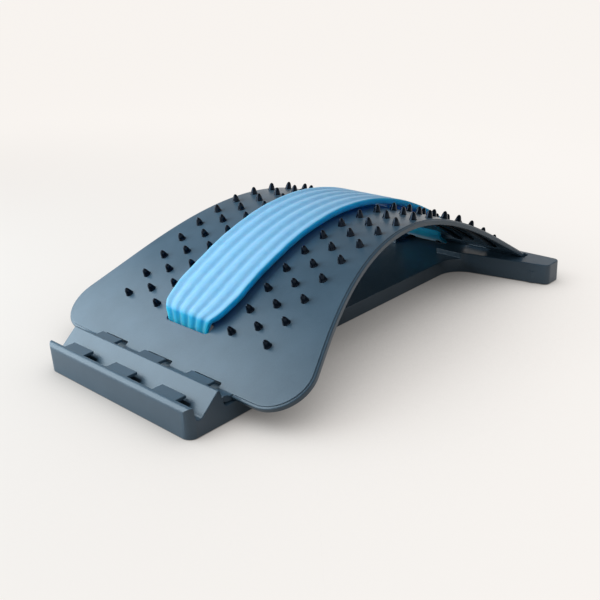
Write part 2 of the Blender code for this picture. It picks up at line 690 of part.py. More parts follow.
def cut_hollows(board, group):
    """The board is moulded as a shell, stiffened by ribs that are left between the hollows."""
    near_half = NEAR_HALF_WIDTH - WALL
    ribs = [-near_half - RIB / 2, -TAB_SPACING / 2, TAB_SPACING / 2, near_half + RIB / 2]
    for low, high in zip(ribs, ribs[1:]):
        cut(board, slab("near_hollow", notch_hollow(), low + RIB / 2, high - RIB / 2, group, upright=True))
    start, end = NEAR_BLOCK_END, FAR_BLOCK_START + 2 * JOIN_OVERLAP
    half = WEB_HALF_WIDTH - WALL
    length = (end - start + RIB) / 6
    for k in range(6):
        low = start + k * length
        for inner, outer in ((RIB / 2, half), (-half, -RIB / 2)):
            cut(board, box("web_hollow", (low, inner, -CUT_PAST),
                           (low + length - RIB, outer, WEB_HEIGHT - WALL), group))
    ceiling = FAR_BAR_HEIGHT - BAR_RADIUS - BAR_CLEARANCE - WALL
    hollow = slab("far_hollow", far_outline(WALL + RIB), -CUT_PAST, ceiling, group)
    wide = FAR_HALF_WIDTH
    for y in (-0.6 * wide, -0.2 * wide, 0.2 * wide, 0.6 * wide):
        cut(hollow, box("far_rib", (FAR_BLOCK_START, y - RIB / 2, -2 * CUT_PAST),
                        (FAR_WALL, y + RIB / 2, CREST_HEIGHT), group))
    cut(board, hollow)


def cut_notch_holes(board, group):
    """A core hole under each tab lets the overhang be moulded."""
    for k in range(len(NOTCH_CRESTS) - 1):
        crest = FIRST_CREST + k * NOTCH_PITCH
        for y in TAB_PLACES:
            half = TAB_WIDTH / 2 + CORE_HOLE_MARGIN
            cut(board, box("core_hole", (crest + CORE_HOLE_START, y - half, NOTCH_FLOOR - 2 * WALL),
                           (crest + CORE_HOLE_END, y + half, NOTCH_CRESTS[k] + CUT_PAST), group))


def cut_hinge_seat(board, group):
    """The trough that the arch's far bar turns in, and room over it for the arch."""
    half = half_width(FAR_REACH)
    radius = BAR_RADIUS + BAR_CLEARANCE
    x, z = FAR_BAR.x, FAR_BAR.z
    trough = [(x + radius, CREST_HEIGHT), (x - radius, CREST_HEIGHT)]
    for angle in np.linspace(math.pi, 2 * math.pi, 13):
        trough.append((x + radius * math.cos(angle), z + radius * math.sin(angle)))
    cut(board, slab("trough", trough, -half - FIT, half + FIT, group, upright=True))
    room = box("arch_room", (FAR_REACH - HINGE_ROOM_LENGTH, -half - 2 * FIT, -EDGE - FIT),
               (FAR_REACH, half + 2 * FIT, 2 * CUT_PAST), group)
    slice_across(room, np.arange(FAR_REACH - HINGE_ROOM_LENGTH + HINGE_ROOM_STEP, FAR_REACH, HINGE_ROOM_STEP))
    bend(room)
    cut(board, room)
    tail_half = PAD_END_HALF_WIDTH + PAD_SLOT_MARGIN
    cut(board, box("tail_room", (FAR_BLOCK_START - JOIN_OVERLAP, -tail_half, WEB_HEIGHT),
                   (x, tail_half, CREST_HEIGHT), group))


def add_tabs(board, group):
    for k in range(len(NOTCH_CRESTS) - 1):
        crest = FIRST_CREST + k * NOTCH_PITCH
        top = room_under_arch(crest, NOTCH_CRESTS[k]) - TAB_SINK
        for y in TAB_PLACES:
            join(board, box("tab", (crest + CREST_TOPS[k][0], y - TAB_WIDTH / 2, top - TAB_THICKNESS),
                            (crest + TAB_REACH, y + TAB_WIDTH / 2, top), group))
    under = FAR_BAR.z + BAR_RADIUS + BAR_CLEARANCE
    inner = FAR_BAR.x + BAR_RADIUS + 2 * BAR_CLEARANCE
    lip = FAR_BAR.x - BAR_RADIUS - HOOK_LIP
    root = FAR_BLOCK_HEIGHT - HOOK_SINK
    profile = [(lip, under), (inner, under), (inner, root), (FAR_WALL - HOOK_SLANT, root),
               (FAR_WALL - 2 * HOOK_SLANT, under + TAB_THICKNESS), (lip, under + TAB_THICKNESS)]
    for y in FAR_TAB_PLACES:
        join(board, slab("hinge_tab", profile, -y - TAB_WIDTH / 2, -y + TAB_WIDTH / 2, group, upright=True))


def make_feet(group, finish):
    for name, (x, y) in foot_places().items():
        foot = rod(name, FOOT_RADIUS, (x, y, 0.0), (x, y, FOOT_THICKNESS), FOOT_SIDES, group)
        finish_piece(foot, finish, None)


def main():
    clear_scene()
    group = collection("back_stretcher")
    slate = material("slate_plastic", (0.085, 0.115, 0.145), 0.5)
    gloss_black = material("gloss_black_plastic", (0.012, 0.018, 0.026), 0.22)
    blue_foam = material("sky_blue_foam", (0.15, 0.50, 0.90), 0.7)
    rubber = material("black_rubber", (0.02, 0.02, 0.022), 0.85)
    hinge = bpy.data.objects.new("arch_hinge", None)
    hinge.location = (FAR_BAR.x, 0.0, FAR_BAR.z)
    group.objects.link(hinge)
    make_base_board(group, slate)
    make_feet(group, rubber)
    make_arch_board(group, hinge, slate)
    make_stud_strips(group, hinge, gloss_black)
    make_pad(group, hinge, blue_foam)
    make_rivets(group, hinge, gloss_black)


main()
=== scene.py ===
"""Back stretcher: the pieces that show, their finishes, the studio and the camera.

Metres, +Z up. X runs from the notched near end to the hinge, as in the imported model. Pieces of the
arch are drawn flat first: (s, y, t) is the length along the board from its crest, the width, and the
height over its top face. lay_on_arch() then curves them.
"""

import json
import math

import bmesh
import bpy
import numpy as np
from mathutils import Matrix, Vector


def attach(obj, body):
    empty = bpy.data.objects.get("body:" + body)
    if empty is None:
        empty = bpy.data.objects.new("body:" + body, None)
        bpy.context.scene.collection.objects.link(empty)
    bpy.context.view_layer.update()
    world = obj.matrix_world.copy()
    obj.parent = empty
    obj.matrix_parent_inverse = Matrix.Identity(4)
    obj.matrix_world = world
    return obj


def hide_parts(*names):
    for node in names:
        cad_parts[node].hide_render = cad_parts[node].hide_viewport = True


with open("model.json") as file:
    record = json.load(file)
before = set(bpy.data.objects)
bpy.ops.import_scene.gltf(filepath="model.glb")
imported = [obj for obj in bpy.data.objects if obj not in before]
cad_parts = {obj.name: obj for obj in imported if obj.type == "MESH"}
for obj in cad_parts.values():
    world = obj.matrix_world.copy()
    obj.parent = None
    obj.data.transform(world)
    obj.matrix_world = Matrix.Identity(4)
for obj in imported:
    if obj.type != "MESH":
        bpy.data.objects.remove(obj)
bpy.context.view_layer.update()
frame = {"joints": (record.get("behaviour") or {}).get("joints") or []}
HINGE = Vector(frame["joints"][0]["pos_m"])

# Arch board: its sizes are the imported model's, apart from its tip
CREST_HEIGHT = 0.0835
NEAR_REACH = 0.1932
FAR_REACH = 0.1722
NEAR_STRAIGHT_FROM = 0.1434
FAR_STRAIGHT_FROM = 0.1562
SHEET = 0.0028
EDGE = 0.0043
LIP_WIDTH = 0.003
WAIST_HALF_WIDTH = 0.085
WAIST_AT = 0.035
NEAR_FLARE = 0.0435
NEAR_FLARE_POWER = 1.9
NEAR_FLARE_PAST_END = 0.0038
FAR_FLARE = 0.0135
FAR_FLARE_POWER = 1.5
NEAR_CORNER_RADIUS = 0.0275
FAR_CORNER_RADIUS = 0.006
NEAR_CORNER_SETBACK = 0.0032
SIDE_FROM = -0.1421
SIDE_TO = 0.158
BAR_RADIUS = 0.003
NEAR_BAR_HALF_LENGTH = 0.0785
# The last TIP_CREASE of the tongue bends up by TIP_LIFT, which fades out over TIP_BLEND beside it
TIP_CREASE = 0.0045
TIP_LIFT = 0.0026
TIP_BLEND = 0.017
TIP_SLICE = 0.003
TIP_SLICES_PAST = 0.002
# The near bar's axis, over the middle of the tongue's edge
BAR_LIFT = 0.001
NEAR_BORDER = 0.0122
FAR_BORDER = 0.0172
TAB_GAP = 0.0018
TONGUE_OVERLAP = 0.004
TONGUE_NOTCH_DEPTH = 0.0092
HINGE_SLOT_LENGTH = 0.0138
SLOT_CORNER = 0.0012
SLICE = 0.004

# The board's edge in section, as (inset, depth): lower corner, side wall, round shoulder, ledge, step
EDGE_SECTION = [
    (0.0005, 0.0043), (0.00014, 0.00418), (0.0, 0.00385), (0.0, 0.00175), (0.0001, 0.00122),
    (0.00038, 0.00086), (0.0008, 0.0007), (0.00182, 0.00062), (0.00192, 0.00052), (0.00196, 0.00018),
    (0.00208, 0.00005), (0.00235, 0.0),
]

# Studs: columns by their distance from the middle line, and a cone's section as (radius, height)
STUD_COLUMNS = {"outer": 0.0765, "middle": 0.059, "inner": 0.0415}
STUD_PITCH = 0.02105
STUD_ROWS = 15
STUD_SECTION = [
    (0.0, 0.00605), (0.00045, 0.00597), (0.00085, 0.00574), (0.0012, 0.00538), (0.00148, 0.0049),
    (0.00182, 0.00415), (0.00214, 0.00325), (0.0024, 0.0023), (0.00262, 0.0014), (0.00282, 0.0007),
    (0.003, 0.00035), (0.0031, 0.00008),
]
STUD_STEM_RADIUS = 0.0016
STUD_SIDES = 20
STRIP_HALF_WIDTH = 0.0035
STRIP_THICKNESS = 0.0012

# Foam pad
PAD_HALF_WIDTH = 0.0312
PAD_END_HALF_WIDTH = 0.0213
PAD_THICKNESS = 0.005
PAD_STANDOFF = 0.0033
PAD_TAIL_THICKNESS = 0.003
PAD_TAIL_GAP = 0.0005
PAD_FLUTES = 5
PAD_FLUTE_DEPTH = 0.0013
PAD_EDGE_RADIUS = 0.0009
PAD_NEAR_SLOT = 0.1513
PAD_FAR_SLOT = 0.1455
PAD_SLOT_LENGTH = 0.01
PAD_SLOT_MARGIN = 0.0022
PAD_SLOT_CORNER = 0.0035
PAD_NEAR_TAIL = 0.0125
PAD_FAR_TAIL = 0.02
PAD_RING_SPACING = 0.0015
# The cut edge's wander: two sine waves, as (height, radians a metre, phase)
EDGE_WAVES = ((0.00018, 140, 0), (0.0001, 410, 1))
# The pale top, a painted highlight, fades as the strip dips: over this much of its slope, and gone at that
# slope
PAINTED_LIT_FACE = "painted_lit_share"
PAINTED_LIT_FACE_FADE = 0.45
PAINTED_LIT_FACE_GONE = 0.7
RIVET_OFFSET = 0.015
RIVET_HEAD_RADIUS = 0.003
RIVET_SHANK_RADIUS = 0.0013
RIVET_HEAD = 0.0009
RIVET_CHAMFER = 0.0004
RIVET_HEAD_EDGE = 0.0002
RIVET_SKIN = 0.0012
RIVET_FROM_END = 0.0045

# Base board
NEAR_HALF_WIDTH = 0.0807
NEAR_CORNER = 0.0076
NOTCH_PITCH = 0.0245
NOTCH_FLOOR = 0.0124
NOTCH_SEAT = 0.0077
SEATED_NOTCH = 1
# Heights of the crests from the near end; each is made CREST_DROP lower, clear of the arch over it
NOTCH_CRESTS = (0.0222, 0.0254, 0.0192, 0.0192)
CREST_DROP = 0.0001
CREST_BEFORE = 0.0003
OUTER_CREST_ROUND = 0.0042
# Past a crest's place: where its top ends, that corner's radius, and where the V's foot is
OUTER_CREST = (0.0041, 0.0011, 0.0051)
CREST = (0.00135, 0.0009, 0.0046)
# Past a crest's place: how far the notch's floor runs; the one that holds the bar is longer
NOTCH_FLAT = 0.0094
SEATED_FLAT = 0.0136
NOTCH_FOOT_RADIUS = 0.0032
NOTCH_HEEL_RADIUS = 0.003
# The hollow inside a ridge, as (distance past its crest, share of its height)
RIDGE_HOLLOW = ((-0.0105, 0), (-0.001, 1), (0.0006, 1), (0.003, 0))
RIDGE_HOLLOW_HEIGHT = 0.0085
RIDGE_WALL = 0.0052
RIM_THICKNESS = 0.0026
WEB_HALF_WIDTH = 0.04
WEB_HEIGHT = 0.013
WEB_FILLET = 0.0214
FAR_BLOCK_LENGTH = 0.036
FAR_BLOCK_TAPER = 0.016
FAR_HALF_WIDTH = 0.1262
FAR_BLOCK_HEIGHT = 0.018
FAR_BLOCK_CORNER = 0.0052
FAR_RIM_THICKNESS = 0.005
WALL = 0.003
RIB = 0.0022
HOLLOW_CORNER = 0.001
# Ribs under the hinge block, as shares of its half width, and two rows of hollows under the web
FAR_RIBS = (-0.6, -0.2, 0.2, 0.6)
WEB_CELLS = 6
WEB_CELLS_PAST = 0.002
HINGE_ROOM_LENGTH = 0.045
TAB_SPACING = 0.0513
TAB_WIDTH = 0.024
TAB_REACH = 0.0125
TAB_THICKNESS = 0.0022
TAB_SINK = 0.0004
TAB_TOP = 0.0218
# Where each row's tabs start, past its crest's place
TAB_STARTS = (0.0018, -0.0002, -0.0002)
# Hinge hooks: lip past the bar, root below the block's top, and back in from the far wall, low and high
HOOK_LIP = 0.0006
HOOK_ROOT = 0.002
HOOK_BACK = (0.0012, 0.0018)
CORE_HOLE_START = 0.0052
CORE_HOLE_END = 0.0135
CORE_HOLE_MARGIN = 0.0024
FOOT_RADIUS = 0.008
FOOT_THICKNESS = 0.0024
FOOT_PROUD = 0.0005
FOOT_EDGE = 0.0003
# Room between a foot and the walls beside it, as (along, across)
FOOT_MARGINS = {"near": (0.004, 0.004), "middle": (0.0, 0.003), "far": (0.002, 0.005)}
FIT = 0.0003
BAR_CLEARANCE = 0.00035
ARCH_CLEARANCE = 0.0006
SMALL_EDGE_RADIUS = 0.0004
BLOCK_EDGE_RADIUS = 0.0007
# Asked for; the bevel keeps it to what the block's shortest edges allow
HINGE_BLOCK_EDGE_RADIUS = 0.0022

# How far a cutter reaches past what it cuts, what is joined runs into its neighbour, and points are merged
CUT_PAST = 0.01
OVERLAP = 0.001
MERGE = 0.00015

# Camera, as the photograph was taken
CAMERA_PLACE = (-0.4614, -0.4545, 0.282)
CAMERA_AZIMUTH = math.radians(-45.17)
CAMERA_ELEVATION = math.radians(22.62)
CAMERA_ROLL = math.radians(-3.195)
LENS = 51.72
SENSOR = 36.0


# Materials

def linear(colour):
    """An sRGB hex colour as linear RGBA."""
    values = [int(colour[k:k + 2], 16) / 255 for k in (1, 3, 5)]
    return (*(v / 12.92 if v <= 0.04045 else ((v + 0.055) / 1.055) ** 2.4 for v in values), 1.0)


def add_node(tree, kind, settings=None, links=None):
    """A node with its settings, its unlinked sockets, and the sockets that feed it."""
    node = tree.nodes.new(kind)
    for name, value in (settings or {}).items():
        if isinstance(name, str) and hasattr(node, name):
            setattr(node, name, value)
        else:
            node.inputs[name].default_value = value
    for name, source in (links or {}).items():
        tree.links.new(source, node.inputs[name])
    return node


def new_material(name):
    material = bpy.data.materials.new(name)
    material.use_nodes = True
    tree = material.node_tree
    tree.nodes.clear()
    return material, tree


def close_material(tree, settings, links):
    shader = add_node(tree, "ShaderNodeBsdfPrincipled", settings, links)
    add_node(tree, "ShaderNodeOutputMaterial", links={"Surface": shader.outputs[0]})


def spark_eroded_abs():
    """Slate ABS from a spark-eroded mould: satin, with a fine pebble that breaks up its highlights."""
    material, tree = new_material("slate_abs_spark_eroded")
    place = add_node(tree, "ShaderNodeTexCoord").outputs["Object"]
    # The pebble is about 0.2 mm across; it is drawn at 0.8 mm, so that it shows
    pebble = add_node(tree, "ShaderNodeTexNoise", {"Scale": 1 / 0.0008, "Detail": 2.0, "Roughness": 0.6},
                      {"Vector": place})
    # Slow drift of the colour, as where resin flowed: patches of 30 mm
    drift = add_node(tree, "ShaderNodeTexNoise", {"Scale": 1 / 0.03, "Detail": 3.0}, {"Vector": place})
    mixed = add_node(tree, "ShaderNodeMath", {"operation": "MULTIPLY_ADD", 1: 0.55},
                     {0: pebble.outputs["Fac"], 2: drift.outputs["Fac"]})
    tint = add_node(tree, "ShaderNodeValToRGB", links={"Fac": mixed.outputs[0]})
    tint.color_ramp.elements[0].position = 0.5
    tint.color_ramp.elements[0].color = linear("#425A6A")
    tint.color_ramp.elements[1].color = linear("#4F6777")
    gloss = add_node(tree, "ShaderNodeMapRange",
                     {"From Min": 0.3, "From Max": 0.7, "To Min": 0.28, "To Max": 0.38},
                     {"Value": pebble.outputs["Fac"]})
    relief = add_node(tree, "ShaderNodeBump", {"Strength": 0.3, "Distance": 0.00012},
                      {"Height": pebble.outputs["Fac"]})
    close_material(tree, {"IOR": 1.54},
                   {"Base Color": tint.outputs["Color"], "Roughness": gloss.outputs["Result"],
                    "Normal": relief.outputs["Normal"]})
    return material


def polished_black_abs():
    """Near-black ABS from a polished mould: a tight, clear highlight with slight orange peel."""
    material, tree = new_material("black_abs_polished")
    place = add_node(tree, "ShaderNodeTexCoord").outputs["Object"]
    # Orange peel of about 1.5 mm
    peel = add_node(tree, "ShaderNodeTexNoise", {"Scale": 1 / 0.0015, "Detail": 1.0}, {"Vector": place})
    tint = add_node(tree, "ShaderNodeValToRGB", links={"Fac": peel.outputs["Fac"]})
    tint.color_ramp.elements[0].color = linear("#060B12")
    tint.color_ramp.elements[1].color = linear("#0C141E")
    gloss = add_node(tree, "ShaderNodeMapRange", {"To Min": 0.07, "To Max": 0.14},
                     {"Value": peel.outputs["Fac"]})
    relief = add_node(tree, "ShaderNodeBump", {"Strength": 0.12, "Distance": 0.0001},
                      {"Height": peel.outputs["Fac"]})
    # Its highlights are weak and cool, so that the cones stay nearly black beside the slate board
    close_material(tree, {"IOR": 1.52, "Specular IOR Level": 0.32, "Specular Tint": linear("#A9C6EA")},
                   {"Base Color": tint.outputs["Color"], "Roughness": gloss.outputs["Result"],
                    "Normal": relief.outputs["Normal"]})
    return material


def moulded_eva_foam():
    """Sky-blue closed-cell EVA foam, matte: its top is painted pale as a painted highlight, and its cut
    sides a deeper blue as painted shade.
    """
    material, tree = new_material("blue_eva_foam_moulded")
    place = add_node(tree, "ShaderNodeTexCoord").outputs["Object"]
    # Cells are about 0.3 mm across; they are drawn at 0.8 mm, so that they show
    cells = add_node(tree, "ShaderNodeTexVoronoi", {"Scale": 1 / 0.0008}, {"Vector": place})
    cloud = add_node(tree, "ShaderNodeTexNoise", {"Scale": 1 / 0.006, "Detail": 4.0}, {"Vector": place})
    mixed = add_node(tree, "ShaderNodeMath", {"operation": "MULTIPLY_ADD", 1: 0.35},
                     {0: cells.outputs["Distance"], 2: cloud.outputs["Fac"]})
    painted_lit_face_colour = add_node(tree, "ShaderNodeValToRGB", links={"Fac": mixed.outputs[0]})
    painted_lit_face_colour.color_ramp.elements[0].position = 0.35
    painted_lit_face_colour.color_ramp.elements[0].color = linear("#84C6F4")
    painted_lit_face_colour.color_ramp.elements[1].position = 0.95
    painted_lit_face_colour.color_ramp.elements[1].color = linear("#9AD4FA")
    # make_pad() marks the top face, which is painted pale as a painted highlight; the cut sides and the
    # ends that dive are painted the deeper blue as painted shade
    painted_lit_share = add_node(tree, "ShaderNodeAttribute", {"attribute_name": PAINTED_LIT_FACE})
    tint = add_node(tree, "ShaderNodeMix", {"data_type": "RGBA", 6: linear("#03B2FA")},
                    {0: painted_lit_share.outputs["Fac"], 7: painted_lit_face_colour.outputs["Color"]})
    relief = add_node(tree, "ShaderNodeBump", {"Strength": 0.25, "Distance": 0.0001},
                      {"Height": cells.outputs["Distance"]})
    # Light from the lit face spreads a few millimetres inside, and makes the sides glow
    inner = add_node(tree, "ShaderNodeMapRange", {"To Min": 0.9, "To Max": 0.2},
                     {"Value": painted_lit_share.outputs["Fac"]})
    close_material(tree, {"IOR": 1.45, "Roughness": 0.62, "Sheen Weight": 0.6, "Sheen Roughness": 0.4,
                          "Sheen Tint": linear("#EAF6FF"), "Subsurface Radius": (0.05, 0.75, 1.0),
                          "Subsurface Scale": 0.018},
                   {"Base Color": tint.outputs[2], "Normal": relief.outputs["Normal"],
                    "Subsurface Weight": inner.outputs["Result"]})
    return material


def moulded_rubber():
    """Black rubber from a blasted mould: dull and even, with a faint grain."""
    material, tree = new_material("black_rubber_moulded")
    place = add_node(tree, "ShaderNodeTexCoord").outputs["Object"]
    grain = add_node(tree, "ShaderNodeTexNoise", {"Scale": 1 / 0.001, "Detail": 2.0}, {"Vector": place})
    tint = add_node(tree, "ShaderNodeValToRGB", links={"Fac": grain.outputs["Fac"]})
    tint.color_ramp.elements[0].color = linear("#17181A")
    tint.color_ramp.elements[1].color = linear("#232427")
    relief = add_node(tree, "ShaderNodeBump", {"Strength": 0.3, "Distance": 0.0001},
                      {"Height": grain.outputs["Fac"]})
    close_material(tree, {"IOR": 1.5, "Roughness": 0.78, "Specular IOR Level": 0.35},
                   {"Base Color": tint.outputs["Color"], "Normal": relief.outputs["Normal"]})
    return material


# Mesh tools

def mesh_piece(name, points, faces):
    mesh = bpy.data.meshes.new(name)
    mesh.from_pydata([tuple(p) for p in points], [], [tuple(f) for f in faces])
    mesh.update()
    piece = bpy.data.objects.new(name, mesh)
    bpy.context.scene.collection.objects.link(piece)
    return piece


def edit(piece, change):
    """Change a piece's mesh as a bmesh, with its faces turned outwards after it."""
    bm = bmesh.new()
    bm.from_mesh(piece.data)
    change(bm)
    bmesh.ops.recalc_face_normals(bm, faces=bm.faces)
    bm.to_mesh(piece.data)
    bm.free()
    return piece


def loft(name, rings):
    """A closed skin through rings of equally many points, with its two ends capped."""
    count = len(rings[0])
    faces = []
    for k in range(len(rings) - 1):
        for j in range(count):
            a, b = k * count + j, k * count + (j + 1) % count
            faces.append((a, b, b + count, a + count))
    last = (len(rings) - 1) * count
    faces += [tuple(range(count))[::-1], tuple(range(last, last + count))]
    piece = mesh_piece(name, np.concatenate(rings), faces)
    return edit(piece, lambda bm: None)


def circle(radius, sides, first=0.0):
    """Points of a circle about the origin, the first of them this many steps round."""
    angles = [2 * math.pi * (k + first) / sides for k in range(sides)]
    return [(radius * math.cos(a), radius * math.sin(a)) for a in angles]


def turned(name, section, sides):
    """A section of (radius, height) points, from the top down its outer side, turned about Z."""
    points, rings = [], []
    for radius, height in section:
        if radius == 0:
            rings.append([len(points)] * sides)
            points.append((0.0, 0.0, height))
            continue
        rings.append(list(range(len(points), len(points) + sides)))
        points += [(x, y, height) for x, y in circle(radius, sides)]
    faces = []
    for upper, lower in zip(rings, rings[1:]):
        for k in range(sides):
            j = (k + 1) % sides
            corners = [upper[k], lower[k], lower[j], upper[j]]
            faces.append(tuple(dict.fromkeys(corners)))
    return mesh_piece(name, points, faces)


def rounded(corners, step=6):
    """Closed outline through (x, y, radius) corners, each turned with an arc of its radius."""
    points = []
    for index, (x, y, radius) in enumerate(corners):
        here = Vector((x, y))
        back = (Vector(corners[index - 1][:2]) - here).normalized()
        ahead = (Vector(corners[(index + 1) % len(corners)][:2]) - here).normalized()
        if radius == 0:
            points.append((x, y))
            continue
        half = back.angle(ahead) / 2
        turn = math.pi - 2 * half
        centre = here + (back + ahead).normalized() * radius / math.sin(half)
        first = here + back * radius / math.tan(half) - centre
        side = 1.0 if back.x * ahead.y - back.y * ahead.x < 0 else -1.0
        steps = max(2, round(math.degrees(turn) / step))
        for k in range(steps + 1):
            angle = side * turn * k / steps
            cos, sin = math.cos(angle), math.sin(angle)
            points.append((centre.x + first.x * cos - first.y * sin,
                           centre.y + first.x * sin + first.y * cos))
    return points


def slab(name, outline, low, high, upright=False):
    """An outline in the XY plane, or in XZ with its thickness along Y, from low to high."""
    rings = []
    for level in (low, high):
        rings.append(np.array([(x, level, z) if upright else (x, z, level) for x, z in outline]))
    return loft(name, rings)


def inset_outline(points, inset):
    """A closed outline, moved inwards."""
    points = np.array(points)
    following = np.roll(points, -1, axis=0)
    ahead = following - points
    ahead /= np.linalg.norm(ahead, axis=1)[:, None]
    area = (points[:, 0] * following[:, 1] - following[:, 0] * points[:, 1]).sum()
    normals = math.copysign(1, area) * np.stack([-ahead[:, 1], ahead[:, 0]], axis=1)
    back = np.roll(normals, 1, axis=0)
    return points + inset * (normals + back) / (1 + (normals * back).sum(axis=1))[:, None]


def soft_slab(name, outline, low, high, radius, steps=4):
    """An outline in the XZ plane, with its thickness along Y, and round rims at both ends."""
    rings = []
    turns = np.linspace(0, math.pi / 2, steps + 1)
    rims = [(low + radius - radius * math.sin(a), radius - radius * math.cos(a)) for a in turns[::-1]]
    rims += [(high - radius + radius * math.sin(a), radius - radius * math.cos(a)) for a in turns]
    for level, inset in rims:
        rings.append(np.array([(x, level, z) for x, z in inset_outline(outline, inset)]))
    return loft(name, rings)


def block(name, low, high, radius=0.0):
    """A box, with its edges rounded where it has a radius."""
    outline = [(low[0], low[1]), (high[0], low[1]), (high[0], high[1]), (low[0], high[1])]
    piece = slab(name, outline, low[2], high[2])
    if radius:
        round_edges(piece, radius)
    return piece


def rod(name, radius, start, end, sides=32):
    """A round bar from one point to another."""
    start, end = Vector(start), Vector(end)
    along = end - start
    turn = Matrix.Translation(start) @ along.to_track_quat("Z", "Y").to_matrix().to_4x4()
    rings = []
    for height in (0.0, along.length):
        rings.append(np.array([turn @ Vector((x, y, height)) for x, y in circle(radius, sides)]))
    return loft(name, rings)


def bake(piece):
    """Keep what the modifiers give, and drop them."""
    depsgraph = bpy.context.evaluated_depsgraph_get()
    mesh = bpy.data.meshes.new_from_object(piece.evaluated_get(depsgraph))
    piece.modifiers.clear()
    piece.data = mesh


def round_edges(piece, radius, segments=3, angle=35):
    bevel = piece.modifiers.new("round_edges", "BEVEL")
    bevel.width = radius
    bevel.segments = segments
    bevel.limit_method = "ANGLE"
    bevel.angle_limit = math.radians(angle)
    bake(piece)


def combine(piece, operation, others):
    for other in others:
        step = piece.modifiers.new("combine", "BOOLEAN")
        step.operation = operation
        step.object = other
        step.solver = "EXACT"
        bake(piece)
        bpy.data.objects.remove(other, do_unlink=True)


def cut(piece, *others):
    combine(piece, "DIFFERENCE", others)


def join(piece, *others):
    combine(piece, "UNION", others)


def drill(piece, places, radius, low, high, sides=12):
    """Round holes through a flat piece at (x, y) places."""
    ring = circle(radius, sides, first=0.5)
    points, faces = [], []
    for x, y in places:
        start = len(points)
        points += [(x + a, y + b, z) for z in (low, high) for a, b in ring]
        faces += [(start + k, start + (k + 1) % sides, start + sides + (k + 1) % sides, start + sides + k)
                  for k in range(sides)]
        faces.append(tuple(range(start + sides - 1, start - 1, -1)))
        faces.append(tuple(range(start + sides, start + 2 * sides)))
    cut(piece, mesh_piece("drill", points, faces))


def slice_flat(piece, stations, axis, limit=None):
    """Edges across a flat piece at these stations; with a limit, only where s is below it."""
    normal = Vector((1, 0, 0)) if axis == 0 else Vector((0, 1, 0))

    def change(bm):
        for station in stations:
            faces = [f for f in bm.faces if limit is None or f.calc_center_median().x < limit]
            edges = {e for f in faces for e in f.edges}
            verts = {v for f in faces for v in f.verts}
            bmesh.ops.bisect_plane(bm, geom=[*verts, *edges, *faces], plane_co=normal * station,
                                   plane_no=normal, dist=1e-6)

    edit(piece, change)


def finish_piece(piece, body, material, smooth_angle=38, weighted=True):
    """Give a piece its material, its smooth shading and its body."""
    piece.data.materials.clear()
    piece.data.materials.append(material)
    piece.data.shade_smooth()
    piece.data.set_sharp_from_angle(angle=math.radians(smooth_angle))
    if weighted:
        normals = piece.modifiers.new("even_shading", "WEIGHTED_NORMAL")
        normals.keep_sharp = True
    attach(piece, body)


# The arch's curve

def arch_half(reach, straight_from, bar_height, lift):
    """Lengths, places and slopes down one half, as steep as brings its bar to its height."""
    low, high = 0.0, math.radians(80)
    # Each of 40 tries halves the range that the steepest slope lies in
    for _ in range(40):
        steepest = (low + high) / 2
        *_, z, slope = arch_run(steepest, straight_from, reach)
        end = z[-1] + (lift - EDGE / 2) * math.cos(slope[-1])
        low, high = (steepest, high) if end > bar_height else (low, steepest)
    # It goes on past the bar, for what lies beyond it
    return arch_run(steepest, straight_from, 1.3 * reach)


def arch_run(steepest, straight_from, reach, step=0.0002):
    """A curve down from the crest, whose slope grows as a sine until it runs straight."""
    s = np.append(np.arange(0.0, reach, step), reach)
    slope = steepest * np.sin(np.minimum(s / straight_from, 1.0) * math.pi / 2)
    middle = (slope[1:] + slope[:-1]) / 2
    x = np.append(0.0, np.cumsum(np.cos(middle) * np.diff(s)))
    z = CREST_HEIGHT - np.append(0.0, np.cumsum(np.sin(middle) * np.diff(s)))
    return s, x, z, slope


NEAR_BAR_Z = NOTCH_FLOOR + BAR_RADIUS + BAR_CLEARANCE
NEAR_ARCH = arch_half(NEAR_REACH, NEAR_STRAIGHT_FROM, NEAR_BAR_Z, TIP_LIFT + BAR_LIFT)
FAR_ARCH = arch_half(FAR_REACH, FAR_STRAIGHT_FROM, HINGE.z, 0.0)


def arch_places(points):
    """Places of an array of flat (s, y, t) points, with x counted from the crest."""
    s, y, t = np.asarray(points, float).reshape(-1, 3).T
    along = np.clip((-s - (NEAR_REACH - TIP_CREASE)) / TIP_CREASE, 0, None)
    across = np.clip((np.abs(y) - NEAR_HALF_WIDTH) / TIP_BLEND, 0, 1)
    t = t + TIP_LIFT * along * (1 - across * across * (3 - 2 * across))
    places = np.empty((len(s), 3))
    for half, side, (length, x, z, slope) in ((s < 0, -1, NEAR_ARCH), (s >= 0, 1, FAR_ARCH)):
        run = np.abs(s[half])
        angle = np.interp(run, length, slope)
        places[half, 0] = side * (np.interp(run, length, x) + t[half] * np.sin(angle))
        places[half, 1] = y[half]
        places[half, 2] = np.interp(run, length, z) + t[half] * np.cos(angle)
    return places


CREST_X = HINGE.x - arch_places([(FAR_REACH, 0, -EDGE / 2)])[0, 0]
NEAR_BAR_X = CREST_X + arch_places([(-NEAR_REACH, 0, BAR_LIFT - EDGE / 2)])[0, 0]
FIRST_CREST = NEAR_BAR_X - NOTCH_SEAT - SEATED_NOTCH * NOTCH_PITCH
NEAR_WALL = FIRST_CREST - RIM_THICKNESS / 2
FAR_WALL = HINGE.x + BAR_RADIUS + BAR_CLEARANCE + FAR_RIM_THICKNESS
NEAR_BLOCK_END = FIRST_CREST + (len(NOTCH_CRESTS) - 1) * NOTCH_PITCH + RIM_THICKNESS / 2
FAR_BLOCK_START = FAR_WALL - FAR_BLOCK_LENGTH
TAB_PLACES = (-TAB_SPACING, 0.0, TAB_SPACING)
FAR_TAB_PLACES = (-TAB_SPACING, TAB_SPACING)


